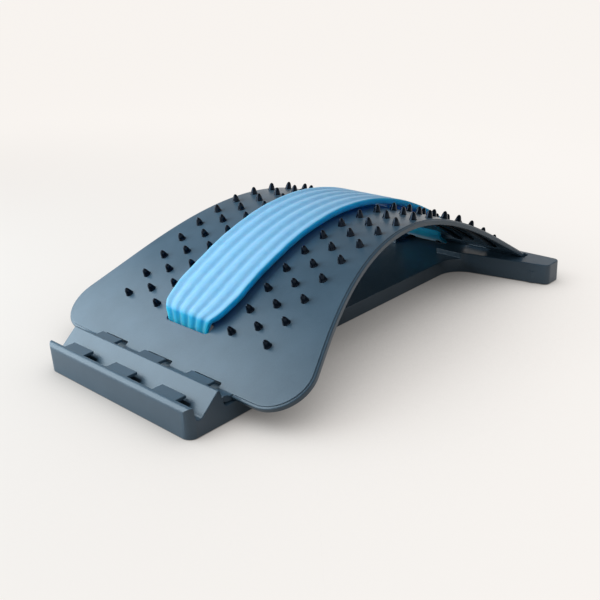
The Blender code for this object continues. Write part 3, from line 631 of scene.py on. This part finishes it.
def lay_on_arch(piece):
    """Curve a flat piece, with its face turned up, along the arch."""
    edit(piece, lambda bm: bmesh.ops.triangulate(bm, faces=[f for f in bm.faces if len(f.verts) > 4]))
    flat = np.empty(3 * len(piece.data.vertices))
    piece.data.vertices.foreach_get("co", flat)
    places = arch_places(flat) + (CREST_X, 0, 0)
    piece.data.vertices.foreach_set("co", places.ravel())
    piece.data.update()
    return piece


def half_width(s):
    """Half the board's width at s: least at its waist, with a curved flare towards each end."""
    if s < WAIST_AT:
        share = (WAIST_AT - s) / (NEAR_REACH + NEAR_FLARE_PAST_END)
        return WAIST_HALF_WIDTH + NEAR_FLARE * share ** NEAR_FLARE_POWER
    share = (s - WAIST_AT) / (FAR_REACH - WAIST_AT)
    return WAIST_HALF_WIDTH + FAR_FLARE * share ** FAR_FLARE_POWER


def board_outline(inset, near_end, far_end, near_radius, far_radius):
    """Flat outline of the board: waisted sides, with a wide round corner at the near end."""
    run = 0.01
    slope = (half_width(SIDE_FROM + run) - half_width(SIDE_FROM)) / run
    tip_half_width = half_width(SIDE_FROM) + slope * (near_end - SIDE_FROM)
    side = [(near_end, tip_half_width - inset, near_radius)]
    side += [(s, half_width(s) - inset, 0) for s in np.arange(SIDE_FROM, SIDE_TO, SLICE)]
    side.append((far_end, half_width(far_end) - inset, far_radius))
    return rounded(side + [(s, -w, radius) for s, w, radius in reversed(side)], step=4)


# Pieces of the arch

def cut_slot(board, low, high, y, half, radii, step):
    """A slot through the flat board from low to high along s; radii are those of its corners there."""
    corners = [(low, y - half, radii[0]), (high, y - half, radii[1]),
               (high, y + half, radii[1]), (low, y + half, radii[0])]
    cut(board, slab("slot", rounded(corners, step), -CUT_PAST, CUT_PAST))


def make_arch_board(material):
    """The arched board, with its rim and pocket, its two bars, and every slot and hole."""
    near_end = -NEAR_REACH + NEAR_CORNER_SETBACK
    rings = []
    for inset, depth in EDGE_SECTION:
        outline = board_outline(inset, near_end + inset, FAR_REACH - inset, NEAR_CORNER_RADIUS - inset,
                                FAR_CORNER_RADIUS - inset)
        rings.append(np.array([(s, y, -depth) for s, y in outline]))
    board = loft("arch_board_moulding", rings)
    hollow = board_outline(LIP_WIDTH, -NEAR_REACH + NEAR_BORDER, FAR_REACH - FAR_BORDER,
                           NEAR_CORNER_RADIUS - LIP_WIDTH, FAR_CORNER_RADIUS / 2)
    cut(board, slab("pocket", hollow, -2 * EDGE, -SHEET))
    half = NEAR_BAR_HALF_LENGTH
    join(board, block("tongue", (-NEAR_REACH, -half, -EDGE), (near_end + TONGUE_OVERLAP, half, 0.0)))
    middle = BAR_LIFT - EDGE / 2
    join(board, rod("near_bar", BAR_RADIUS, (-NEAR_REACH, -half, middle), (-NEAR_REACH, half, middle)))
    for y in TAB_PLACES:
        cut_slot(board, -NEAR_REACH - CUT_PAST, -NEAR_REACH + TONGUE_NOTCH_DEPTH, y,
                 TAB_WIDTH / 2 + TAB_GAP, (0, SLOT_CORNER), step=22)
    for y in FAR_TAB_PLACES:
        cut_slot(board, FAR_REACH - HINGE_SLOT_LENGTH, FAR_REACH + CUT_PAST, y,
                 TAB_WIDTH / 2 + TAB_GAP / 2, (SLOT_CORNER, 0), step=22)
    half = half_width(FAR_REACH) - 2 * BAR_RADIUS / 3
    join(board, rod("far_bar", BAR_RADIUS, (FAR_REACH, -half, -EDGE / 2), (FAR_REACH, half, -EDGE / 2)))
    for s in (-PAD_NEAR_SLOT, PAD_FAR_SLOT):
        cut_slot(board, s - PAD_SLOT_LENGTH / 2, s + PAD_SLOT_LENGTH / 2, 0.0,
                 PAD_END_HALF_WIDTH + PAD_SLOT_MARGIN, (PAD_SLOT_CORNER, PAD_SLOT_CORNER), step=15)
    # Edges across it, so that it can bend, and more of them where the tongue's tip does
    slice_flat(board, np.arange(-NEAR_REACH + TIP_CREASE, FAR_REACH, SLICE), 0)
    slice_flat(board, [-NEAR_REACH + TIP_CREASE / 2], 0)
    tip_lines = np.arange(NEAR_HALF_WIDTH - TIP_SLICES_PAST, NEAR_HALF_WIDTH + TIP_BLEND + TIP_SLICES_PAST,
                          TIP_SLICE)
    slice_flat(board, [*tip_lines, *-tip_lines], 1, limit=-NEAR_REACH + TIP_CREASE)
    stems = [(s, sign * y) for column, y in STUD_COLUMNS.items()
             for s in row_places(column) for sign in (1, -1)]
    drill(board, stems, STUD_STEM_RADIUS + FIT, -2 * EDGE, 2 * EDGE)
    drill(board, rivet_places().values(), RIVET_SHANK_RADIUS + FIT, -2 * EDGE, -RIVET_SKIN)
    lay_on_arch(board)
    finish_piece(board, "arch", material)
    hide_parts("arch_board")


def row_places(column):
    """Where a column's studs stand; the middle columns stand half a pitch off the others."""
    rows = STUD_ROWS - 1 if column == "middle" else STUD_ROWS
    return [STUD_PITCH * (k - (rows - 1) / 2) for k in range(rows)]


def make_studs(side, sign, column, offset, material):
    """One column of cone studs, on the strip under the board that holds them."""
    under = -SHEET - FIT
    root = under - STRIP_THICKNESS / 2
    neck = STUD_SECTION[-1][1]
    section = STUD_SECTION + [(STUD_STEM_RADIUS, neck), (STUD_STEM_RADIUS, root), (0.0, root)]
    rows = row_places(column)
    y = sign * offset
    end = rows[-1] + STRIP_HALF_WIDTH
    strip = block("strip", (-end, y - STRIP_HALF_WIDTH, under - STRIP_THICKNESS),
                  (end, y + STRIP_HALF_WIDTH, under), radius=SMALL_EDGE_RADIUS)
    slice_flat(strip, np.arange(-end + SLICE, end, SLICE), 0)
    stud = turned("stud", section, STUD_SIDES)
    bm = bmesh.new()
    for s in rows:
        start = len(bm.verts)
        bm.from_mesh(stud.data)
        bm.verts.ensure_lookup_table()
        bmesh.ops.translate(bm, vec=(s, y, 0), verts=bm.verts[start:])
    bm.from_mesh(strip.data)
    piece = mesh_piece(f"cone_studs_{side}_{column}", [], [])
    bm.to_mesh(piece.data)
    bm.free()
    for scrap in (strip, stud):
        bpy.data.objects.remove(scrap, do_unlink=True)
    lay_on_arch(piece)
    finish_piece(piece, "arch", material, smooth_angle=50, weighted=False)
    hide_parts(f"studs_{side}_{column}")


def dive(cover, tail):
    """The pad's path at one end, as (distance outside the slot, height, half width, thickness)."""
    top = PAD_STANDOFF + PAD_THICKNESS / 2
    under_sheet = -SHEET - PAD_TAIL_GAP - PAD_TAIL_THICKNESS / 2
    under = under_sheet + SHEET - cover
    wide, narrow = PAD_HALF_WIDTH, PAD_END_HALF_WIDTH
    thick, thin = PAD_THICKNESS, PAD_TAIL_THICKNESS
    return [
        (tail, under, narrow, thin),
        (0.0088, under, narrow, thin),
        (0.0056, under_sheet, narrow, thin),
        (0.0037, under_sheet + 0.0007, narrow, thin),
        (0.003, under_sheet + 0.002, narrow, thin),
        (0.002, under_sheet + 0.0041, narrow, thin * 1.13),
        (-0.0006, top - 0.0034, narrow * 1.06, thick * 0.8),
        (-0.003, top - 0.0006, narrow * 1.14, thick * 0.92),
        (-0.0066, top, narrow * 1.28, thick),
        (-0.0113, top, wide * 0.92, thick),
        (-0.0183, top, wide * 0.96, thick),
        (-0.027, top, wide, thick),
    ]


def smooth_path(points, spacing):
    """Points of a smooth curve through these, evenly spaced along it."""
    points = np.array(points)
    fine = []
    for k in range(len(points) - 1):
        before, start = points[max(k - 1, 0)], points[k]
        end, after = points[k + 1], points[min(k + 2, len(points) - 1)]
        for u in np.linspace(0, 1, 12, endpoint=False):
            bend = (2 * before - 5 * start + 4 * end - after) * u ** 2
            twist = (3 * start - before - 3 * end + after) * u ** 3
            fine.append(0.5 * (2 * start + (end - before) * u + bend + twist))
    fine = np.array([*fine, points[-1]])
    length = np.append(0, np.cumsum(np.linalg.norm(np.diff(fine[:, :2], axis=0), axis=1)))
    stations = np.linspace(0, length[-1], round(length[-1] / spacing))
    return np.stack([np.interp(stations, length, column) for column in fine.T], axis=1)


def painted_lit_face_share(dip):
    """The share of painted pale highlight at each point of pad_section(), where the strip dips by so much;
    the rest is painted shade.
    """
    top = [1.0] * (12 * PAD_FLUTES + 1)
    side = [0.8, 0.4, 0.1, 0.0, 0.0, 0.0, 0.0]
    return np.clip((PAINTED_LIT_FACE_GONE - dip) / PAINTED_LIT_FACE_FADE, 0, 1) * np.array(top + side + side[::-1])


def pad_section(half, thickness):
    """Across the pad: a flat back, round edges, and flutes along its face between the ridges."""
    radius = min(PAD_EDGE_RADIUS, thickness * 0.3)
    top = []
    span = half - radius
    for u in np.linspace(0, 1, 12 * PAD_FLUTES + 1):
        flute = 0.5 - 0.5 * math.cos(2 * math.pi * PAD_FLUTES * u)
        depth = PAD_FLUTE_DEPTH * min(1.0, thickness / PAD_THICKNESS) * flute ** 1.5
        top.append((span * (2 * u - 1), thickness / 2 - depth))
    corner = [(radius * math.sin(a), radius * math.cos(a)) for a in np.radians([25, 50, 75, 90])]
    right = [(span + x, thickness / 2 - radius + z) for x, z in corner]
    right += [(half, -thickness / 2 + radius), (half - radius * 0.3, -thickness / 2 + radius * 0.3),
              (span, -thickness / 2)]
    left = [(-x, z) for x, z in reversed(right)]
    return np.array(top + right + left)


def make_pad(material):
    """The foam strip: over the arch, down through the two slots, with its tails under the board."""
    near = [(-(PAD_NEAR_SLOT + d), t, w, h) for d, t, w, h in dive(SHEET, PAD_NEAR_TAIL)]
    far = [(PAD_FAR_SLOT + d, t, w, h) for d, t, w, h in dive(EDGE, PAD_FAR_TAIL)]
    top = PAD_STANDOFF + PAD_THICKNESS / 2
    stations = np.linspace(near[-1][0], far[-1][0], 14)[1:-1]
    middle = [(s, top, PAD_HALF_WIDTH, PAD_THICKNESS) for s in stations]
    path = smooth_path(near + middle + far[::-1], PAD_RING_SPACING)
    along = np.gradient(path[:, :2], axis=0)
    along /= np.linalg.norm(along, axis=1)[:, None]
    rings, painted_lit_share = [], []
    for (s, t, half, thickness), (ds, dt) in zip(path, along):
        wander = sum(height * math.sin(s * rate + phase) for height, rate, phase in EDGE_WAVES)
        section = pad_section(half + wander, thickness)
        rings.append(np.array([(s - dt * h, y, t + ds * h) for y, h in section]))
        # The top gets the painted pale highlight, the sides painted shade, and the tails under the board no
        # highlight
        painted_lit_share.append(painted_lit_face_share(abs(dt)) if t > 0 else np.zeros(len(section)))
    pad = loft("fluted_foam_pad", rings)
    pad.data.attributes.new(PAINTED_LIT_FACE, "FLOAT", "POINT").data.foreach_set("value", np.concatenate(painted_lit_share))
    drill(pad, rivet_places().values(), RIVET_SHANK_RADIUS + FIT, -CUT_PAST, -SHEET)
    lay_on_arch(pad)
    finish_piece(pad, "arch", material, smooth_angle=60, weighted=False)
    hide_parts("foam_pad")


def rivet_places():
    """Where the rivets go through the pad's tails, by the end and side that they are on."""
    near = -(PAD_NEAR_SLOT + PAD_NEAR_TAIL - RIVET_FROM_END)
    far = PAD_FAR_SLOT + PAD_FAR_TAIL - RIVET_FROM_END
    places = {}
    for end, s in (("near", near), ("far", far)):
        for side, y in (("left", RIVET_OFFSET), ("right", -RIVET_OFFSET)):
            places[f"{end}_{side}"] = (s, y)
    return places


def make_rivet(place, s, y, material):
    """A push rivet under the board, with a domed head against the pad's tail."""
    cover = SHEET if s < 0 else EDGE
    seat = -cover - PAD_TAIL_GAP - PAD_TAIL_THICKNESS - FIT
    tip = -RIVET_SKIN - FIT
    shank, head, depth = RIVET_SHANK_RADIUS, RIVET_HEAD_RADIUS, RIVET_HEAD
    section = [(0.0, tip), (shank * 0.7, tip), (shank, tip - RIVET_CHAMFER), (shank, seat),
               (head * 0.95, seat), (head, seat - RIVET_HEAD_EDGE), (head * 0.86, seat - 0.62 * depth),
               (head * 0.5, seat - 0.93 * depth), (0.0, seat - depth)]
    rivet = turned(f"push_rivet_{place}", section, 24)
    rivet.data.transform(Matrix.Translation((s, y, 0)))
    lay_on_arch(rivet)
    finish_piece(rivet, "arch", material, smooth_angle=40, weighted=False)
    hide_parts(f"pad_rivet_{place}")


# Pieces of the base

def room_under_arch(x, height):
    """The height, or as much of it as fits under the resting arch at x."""
    flat = [(s, 0.0, -EDGE) for s in np.arange(-NEAR_REACH, -NEAR_STRAIGHT_FROM / 2, SLICE / 4)]
    places = arch_places(flat) + (CREST_X, 0, 0)
    over = [z - ARCH_CLEARANCE for px, _, z in places if abs(px - x) < SLICE / 2]
    return min([height, *over])


def notch_profile():
    """Side view of the notched block: the outer crest is a wide round hump, the rest are narrow."""
    corners = [(NEAR_WALL, FOOT_PROUD, 0)]
    for k, stated in enumerate(NOTCH_CRESTS):
        crest = FIRST_CREST + k * NOTCH_PITCH
        height = room_under_arch(crest, stated) - CREST_DROP
        after, radius, foot = CREST if k else OUTER_CREST
        if k:
            corners.append((crest - CREST_BEFORE, height, radius))
        else:
            corners.append((NEAR_WALL, height, OUTER_CREST_ROUND))
        if k < len(NOTCH_CRESTS) - 1:
            flat = SEATED_FLAT if k == SEATED_NOTCH else NOTCH_FLAT
            corners += [(crest + after, height, radius), (crest + foot, NOTCH_FLOOR, NOTCH_FOOT_RADIUS),
                        (crest + flat, NOTCH_FLOOR, NOTCH_HEEL_RADIUS)]
    corners += [(NEAR_BLOCK_END, height, radius), (NEAR_BLOCK_END, FOOT_PROUD, 0)]
    return rounded(corners, step=10)


def notch_hollow():
    """Side view of the room under the notches."""
    ceiling = NOTCH_FLOOR - WALL
    points = [(NEAR_WALL + WALL, -CUT_PAST), (NEAR_WALL + WALL, ceiling)]
    for k in range(1, len(NOTCH_CRESTS) - 1):
        crest = FIRST_CREST + k * NOTCH_PITCH
        rise = min(NOTCH_CRESTS[k] - RIDGE_WALL - ceiling, RIDGE_HOLLOW_HEIGHT)
        points += [(crest + x, ceiling + share * rise) for x, share in RIDGE_HOLLOW]
    return points + [(NEAR_BLOCK_END - WALL, ceiling), (NEAR_BLOCK_END - WALL, -CUT_PAST)]


def mirrored(half):
    """A plan from the corners of its +Y half."""
    return rounded(half + [(x, -y, r) for x, y, r in reversed(half)], step=10)


def far_outline(inset):
    """Plan of the hinge block, from inside its walls."""
    wide = FAR_HALF_WIDTH - inset
    start = FAR_BLOCK_START + inset
    return mirrored([(start, WEB_HALF_WIDTH, 0), (start + FAR_BLOCK_TAPER, wide, HOLLOW_CORNER),
                     (FAR_WALL - inset, wide, HOLLOW_CORNER)])


def make_notched_block():
    """The block at the near end: its side view across its width, with its plan's corners rounded off."""
    half = NEAR_HALF_WIDTH
    board = soft_slab("base_board_moulding", notch_profile(), -half, half, BLOCK_EDGE_RADIUS)
    end = NEAR_BLOCK_END + OVERLAP
    plan = rounded([(NEAR_WALL, -half, NEAR_CORNER), (end, -half, 0), (end, half, 0),
                    (NEAR_WALL, half, NEAR_CORNER)])
    combine(board, "INTERSECT", [slab("near_plan", plan, -CUT_PAST, 5 * CUT_PAST)])
    # Points as close as these would hold the bevel back
    edit(board, lambda bm: bmesh.ops.remove_doubles(bm, verts=bm.verts, dist=MERGE))
    round_edges(board, BLOCK_EDGE_RADIUS)
    return board


def make_web_and_hinge_block():
    """The flat web, and the wide block that it runs into at the hinge end."""
    plan = mirrored([(NEAR_BLOCK_END - OVERLAP, WEB_HALF_WIDTH, 0),
                     (FAR_BLOCK_START, WEB_HALF_WIDTH, WEB_FILLET),
                     (FAR_BLOCK_START + FAR_BLOCK_TAPER, FAR_HALF_WIDTH, FAR_BLOCK_CORNER),
                     (FAR_WALL, FAR_HALF_WIDTH, FAR_BLOCK_CORNER)])
    part = slab("web_and_hinge_block", plan, FOOT_PROUD, FAR_BLOCK_HEIGHT)
    cut(part, block("over_web", (NEAR_BLOCK_END - CUT_PAST, -FAR_HALF_WIDTH, WEB_HEIGHT),
                    (FAR_BLOCK_START, FAR_HALF_WIDTH, CREST_HEIGHT)))
    round_edges(part, HINGE_BLOCK_EDGE_RADIUS)
    return part


def foot_places():
    """Where the feet stand, by the end and side that they are on."""
    inset = WALL + FOOT_RADIUS
    ends = {"near": (NEAR_WALL + inset, 1, NEAR_HALF_WIDTH), "middle": (0.0, 0, WEB_HALF_WIDTH),
            "far": (FAR_WALL - inset, -1, FAR_HALF_WIDTH)}
    places = {}
    for end, (x, inwards, half) in ends.items():
        along, across = FOOT_MARGINS[end]
        for side, sign in (("left", 1), ("right", -1)):
            places[f"{end}_{side}"] = (x + inwards * along, sign * (half - inset - across))
    return places


def hollow_out(board):
    """The board is moulded as a shell, stiffened by ribs that are left between the hollows."""
    near_half = NEAR_HALF_WIDTH - WALL
    ribs = [-near_half - RIB / 2, -TAB_SPACING / 2, TAB_SPACING / 2, near_half + RIB / 2]
    for low, high in zip(ribs, ribs[1:]):
        cut(board, slab("near_hollow", notch_hollow(), low + RIB / 2, high - RIB / 2, upright=True))
    length = (FAR_BLOCK_START + WEB_CELLS_PAST - NEAR_BLOCK_END + RIB) / WEB_CELLS
    half = WEB_HALF_WIDTH - WALL
    for k in range(WEB_CELLS):
        low = NEAR_BLOCK_END + k * length
        for inner, outer in ((RIB / 2, half), (-half, -RIB / 2)):
            cut(board, block("web_hollow", (low, inner, -CUT_PAST),
                             (low + length - RIB, outer, WEB_HEIGHT - WALL)))
    ceiling = HINGE.z - BAR_RADIUS - BAR_CLEARANCE - WALL
    hollow = slab("far_hollow", far_outline(WALL + RIB), -CUT_PAST, ceiling)
    for share in FAR_RIBS:
        middle = share * FAR_HALF_WIDTH
        cut(hollow, block("far_rib", (FAR_BLOCK_START, middle - RIB / 2, -2 * CUT_PAST),
                          (FAR_WALL, middle + RIB / 2, FAR_BLOCK_HEIGHT)))
    cut(board, hollow)
    for x, y in foot_places().values():
        join(board, rod("foot_boss", FOOT_RADIUS + FIT + RIB, (x, y, FOOT_PROUD + FIT),
                        (x, y, NOTCH_FLOOR - WALL / 2)))
        cut(board, rod("foot_recess", FOOT_RADIUS + FIT, (x, y, -CUT_PAST), (x, y, FOOT_THICKNESS + FIT)))


def cut_core_holes(board):
    """Oblong holes through the notch floors beside the tabs, as the mould's cores leave them."""
    for k in range(len(NOTCH_CRESTS) - 1):
        crest = FIRST_CREST + k * NOTCH_PITCH
        half = TAB_WIDTH / 2 + CORE_HOLE_MARGIN
        for y in TAB_PLACES:
            cut(board, block("core_hole", (crest + CORE_HOLE_START, y - half, NOTCH_FLOOR - 2 * WALL),
                             (crest + CORE_HOLE_END, y + half, NOTCH_CRESTS[k] + CUT_PAST)))


def cut_hinge_seat(board):
    """The trough that the arch's far bar turns in, and room over it for the arch and the pad's tail."""
    half = half_width(FAR_REACH)
    radius = BAR_RADIUS + BAR_CLEARANCE
    over = FAR_BLOCK_HEIGHT + CUT_PAST
    trough = [(HINGE.x + radius, over), (HINGE.x - radius, over)]
    trough += [(HINGE.x + radius * math.cos(a), HINGE.z + radius * math.sin(a))
               for a in np.linspace(math.pi, 2 * math.pi, 19)]
    cut(board, slab("trough", trough, -half - FIT, half + FIT, upright=True))
    start = FAR_REACH - HINGE_ROOM_LENGTH
    room = block("arch_room", (start, -half - 2 * FIT, -EDGE - FIT),
                 (FAR_REACH, half + 2 * FIT, 2 * CUT_PAST))
    slice_flat(room, np.arange(start + SLICE, FAR_REACH, SLICE), 0)
    cut(board, lay_on_arch(room))
    tail_half = PAD_END_HALF_WIDTH + PAD_SLOT_MARGIN
    cut(board, block("tail_room", (FAR_BLOCK_START - OVERLAP, -tail_half, WEB_HEIGHT),
                     (HINGE.x, tail_half, over)))


def add_tabs(board):
    """Tongues over the notches, and hooks over the hinge bar, that hold the arch's bars down."""
    for k in range(len(NOTCH_CRESTS) - 1):
        crest = FIRST_CREST + k * NOTCH_PITCH
        top = min(TAB_TOP, room_under_arch(crest, NOTCH_CRESTS[k]) - TAB_SINK)
        for y in TAB_PLACES:
            join(board, block("tab", (crest + TAB_STARTS[k], y - TAB_WIDTH / 2, top - TAB_THICKNESS),
                              (crest + TAB_REACH, y + TAB_WIDTH / 2, top), radius=SMALL_EDGE_RADIUS))
    under = HINGE.z + BAR_RADIUS + BAR_CLEARANCE
    inner = HINGE.x + BAR_RADIUS + 2 * BAR_CLEARANCE
    lip = HINGE.x - BAR_RADIUS - HOOK_LIP
    root, top = FAR_BLOCK_HEIGHT - HOOK_ROOT, under + TAB_THICKNESS
    hook = [(lip, under), (inner, under), (inner, root), (FAR_WALL - HOOK_BACK[0], root),
            (FAR_WALL - HOOK_BACK[1], top), (lip, top)]
    for y in FAR_TAB_PLACES:
        piece = slab("hinge_hook", hook, y - TAB_WIDTH / 2, y + TAB_WIDTH / 2, upright=True)
        round_edges(piece, SMALL_EDGE_RADIUS)
        join(board, piece)


def make_base_board(material):
    """The base's one moulding: notched block, web and hinge block, hollow underneath, with its tabs."""
    board = make_notched_block()
    join(board, make_web_and_hinge_block())
    hollow_out(board)
    cut_core_holes(board)
    cut_hinge_seat(board)
    add_tabs(board)
    finish_piece(board, "base", material)
    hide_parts("base_board")


def make_foot(place, x, y, material):
    """A rubber disc in its recess, with a soft rim where it meets the floor."""
    radius, top, edge = FOOT_RADIUS, FOOT_THICKNESS, FOOT_EDGE
    section = [(0.0, top), (radius - edge, top), (radius, top - edge), (radius, 2 * edge),
               (radius - 0.0002, 0.00025), (radius - 2 * edge, 0.0), (0.0, 0.0)]
    foot = turned(f"rubber_foot_{place}", section, 48)
    foot.data.transform(Matrix.Translation((x, y, 0)))
    finish_piece(foot, "base", material, smooth_angle=50)
    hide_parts(f"foot_{place}")


# Studio

LAMP_TARGET = Vector((-0.02, 0.0, 0.05))
LAMP_AZIMUTH = math.radians(134.3)
LAMP_ELEVATION = math.radians(28.8)
LAMP_DISTANCE = 0.6
LAMP_HALF_ANGLE = math.radians(29.5)
LAMP_LEVEL = 3.15
LAMP_COLOUR = (0.8, 0.925, 1.0)
PAPER = "#F6F1EC"
PAPER_SHARE = 0.22
# The paper's glow: its strength at its centre and past its reach, and how near the object it fades
GLOW = (0.72, 0.95)
GLOW_CENTRE = (-0.318, 0.342, 0.0)
GLOW_REACH = 0.974
GLOW_NEARBY = 0.16
FLOOR_HALF = 12.0


def seen_rays(tree):
    """1 for rays that show a surface, straight, mirrored or through glass, and 0 for bounced light."""
    ray = add_node(tree, "ShaderNodeLightPath")
    seen = add_node(tree, "ShaderNodeMath", {"operation": "ADD"},
                    {0: ray.outputs["Is Camera Ray"], 1: ray.outputs["Is Glossy Ray"]})
    seen = add_node(tree, "ShaderNodeMath", {"operation": "ADD", "use_clamp": True},
                    {0: seen.outputs[0], 1: ray.outputs["Is Transmission Ray"]})
    return seen.outputs[0]


def make_floor():
    """A wide sheet of cream paper. It glows a little, less so near the lamp, so that it looks even."""
    material, tree = new_material("cream_paper")
    seen = seen_rays(tree)
    place = add_node(tree, "ShaderNodeTexCoord").outputs["Object"]
    away = add_node(tree, "ShaderNodeVectorMath", {"operation": "DISTANCE", 1: GLOW_CENTRE}, {0: place})
    glow = add_node(tree, "ShaderNodeMapRange",
                    {"interpolation_type": "SMOOTHSTEP", "From Max": GLOW_REACH, "To Min": GLOW[0],
                     "To Max": GLOW[1]},
                    {"Value": away.outputs["Value"]})
    # Under the object and close beside it, the glow fades out, so that its shadow stays
    nearby = add_node(tree, "ShaderNodeAmbientOcclusion", {"Distance": GLOW_NEARBY})
    glow = add_node(tree, "ShaderNodeMath", {"operation": "MULTIPLY"},
                    {0: glow.outputs["Result"], 1: nearby.outputs["AO"]})
    glow = add_node(tree, "ShaderNodeMath", {"operation": "MULTIPLY"}, {0: glow.outputs[0], 1: seen})
    # What shows has a share of the paper's colour, as the glow adds the rest; light bounces off a grey
    share = tuple(PAPER_SHARE * v for v in linear(PAPER)[:3]) + (1.0,)
    tint = add_node(tree, "ShaderNodeMix", {"data_type": "RGBA", 6: linear("#6C6C6C"), 7: share}, {0: seen})
    close_material(tree, {"Roughness": 1.0, "Specular IOR Level": 0.0, "Emission Color": linear(PAPER)},
                   {"Base Color": tint.outputs[2], "Emission Strength": glow.outputs[0]})
    half = FLOOR_HALF
    corners = [(-half, -half, 0), (half, -half, 0), (half, half, 0), (-half, half, 0)]
    floor = mesh_piece("paper_floor", corners, [(0, 1, 2, 3)])
    floor.data.materials.append(material)


def make_world():
    """A studio with a cream horizon that fades to a dim ceiling; its soft light comes from overhead."""
    world = bpy.data.worlds.new("studio")
    bpy.context.scene.world = world
    world.use_nodes = True
    tree = world.node_tree
    tree.nodes.clear()
    seen = seen_rays(tree)
    place = add_node(tree, "ShaderNodeTexCoord").outputs["Generated"]
    height = add_node(tree, "ShaderNodeSeparateXYZ", links={0: place})
    level = add_node(tree, "ShaderNodeMapRange",
                     {"interpolation_type": "SMOOTHSTEP", "From Min": 0.05, "From Max": 0.7, "To Min": 1.0,
                      "To Max": 0.15}, {"Value": height.outputs["Z"]})
    overhead = add_node(tree, "ShaderNodeMapRange",
                        {"interpolation_type": "SMOOTHSTEP", "To Min": 0.05, "To Max": 0.54},
                        {"Value": height.outputs["Z"]})
    wide = add_node(tree, "ShaderNodeBackground", {"Color": linear("#E4EEFA")},
                    {"Strength": overhead.outputs["Result"]})
    cream = add_node(tree, "ShaderNodeBackground", {"Color": linear(PAPER)},
                     {"Strength": level.outputs["Result"]})
    mixed = add_node(tree, "ShaderNodeMixShader", links={0: seen, 1: wide.outputs[0], 2: cream.outputs[0]})
    add_node(tree, "ShaderNodeOutputWorld", links={"Surface": mixed.outputs[0]})


def make_lights():
    """One wide round softbox, low past the near left corner, and so near that its light falls off."""
    lamp = bpy.data.lights.new("key", "AREA")
    lamp.shape = "DISK"
    lamp.size = 2 * LAMP_DISTANCE * math.tan(LAMP_HALF_ANGLE)
    lamp.energy = LAMP_LEVEL / math.sin(LAMP_HALF_ANGLE) ** 2 * math.pi * (lamp.size / 2) ** 2
    lamp.color = LAMP_COLOUR
    key = bpy.data.objects.new("key", lamp)
    towards = Vector((math.cos(LAMP_ELEVATION) * math.cos(LAMP_AZIMUTH),
                      math.cos(LAMP_ELEVATION) * math.sin(LAMP_AZIMUTH), math.sin(LAMP_ELEVATION)))
    key.location = LAMP_TARGET + LAMP_DISTANCE * towards
    key.rotation_euler = towards.to_track_quat("Z", "Y").to_euler()
    key.visible_camera = False
    bpy.context.scene.collection.objects.link(key)


def make_camera():
    """The camera at its place, turned to its azimuth, tilted down to its elevation, and rolled."""
    a, e, r = CAMERA_AZIMUTH, CAMERA_ELEVATION, CAMERA_ROLL
    right = Vector((math.cos(a), math.sin(a), 0))
    back = Vector((math.sin(a) * math.cos(e), -math.cos(a) * math.cos(e), math.sin(e)))
    up = back.cross(right)
    turned_right = right * math.cos(r) + up * math.sin(r)
    turned_up = up * math.cos(r) - right * math.sin(r)
    data = bpy.data.cameras.new("camera")
    data.lens = LENS
    data.sensor_width = SENSOR
    data.sensor_fit = "HORIZONTAL"
    camera = bpy.data.objects.new("camera", data)
    turn = Matrix((turned_right, turned_up, back)).transposed().to_4x4()
    camera.matrix_world = Matrix.Translation(CAMERA_PLACE) @ turn
    bpy.context.scene.collection.objects.link(camera)
    bpy.context.scene.camera = camera


def main():
    slate = spark_eroded_abs()
    black = polished_black_abs()
    foam = moulded_eva_foam()
    rubber = moulded_rubber()
    make_base_board(slate)
    for place, (x, y) in foot_places().items():
        make_foot(place, x, y, rubber)
    make_arch_board(slate)
    for side, sign in (("left", 1), ("right", -1)):
        for column, offset in STUD_COLUMNS.items():
            make_studs(side, sign, column, offset, black)
    make_pad(foam)
    for place, (s, y) in rivet_places().items():
        make_rivet(place, s, y, black)
    make_floor()
    make_world()
    make_lights()
    make_camera()
    bpy.context.scene.view_settings.view_transform = "Standard"


main()
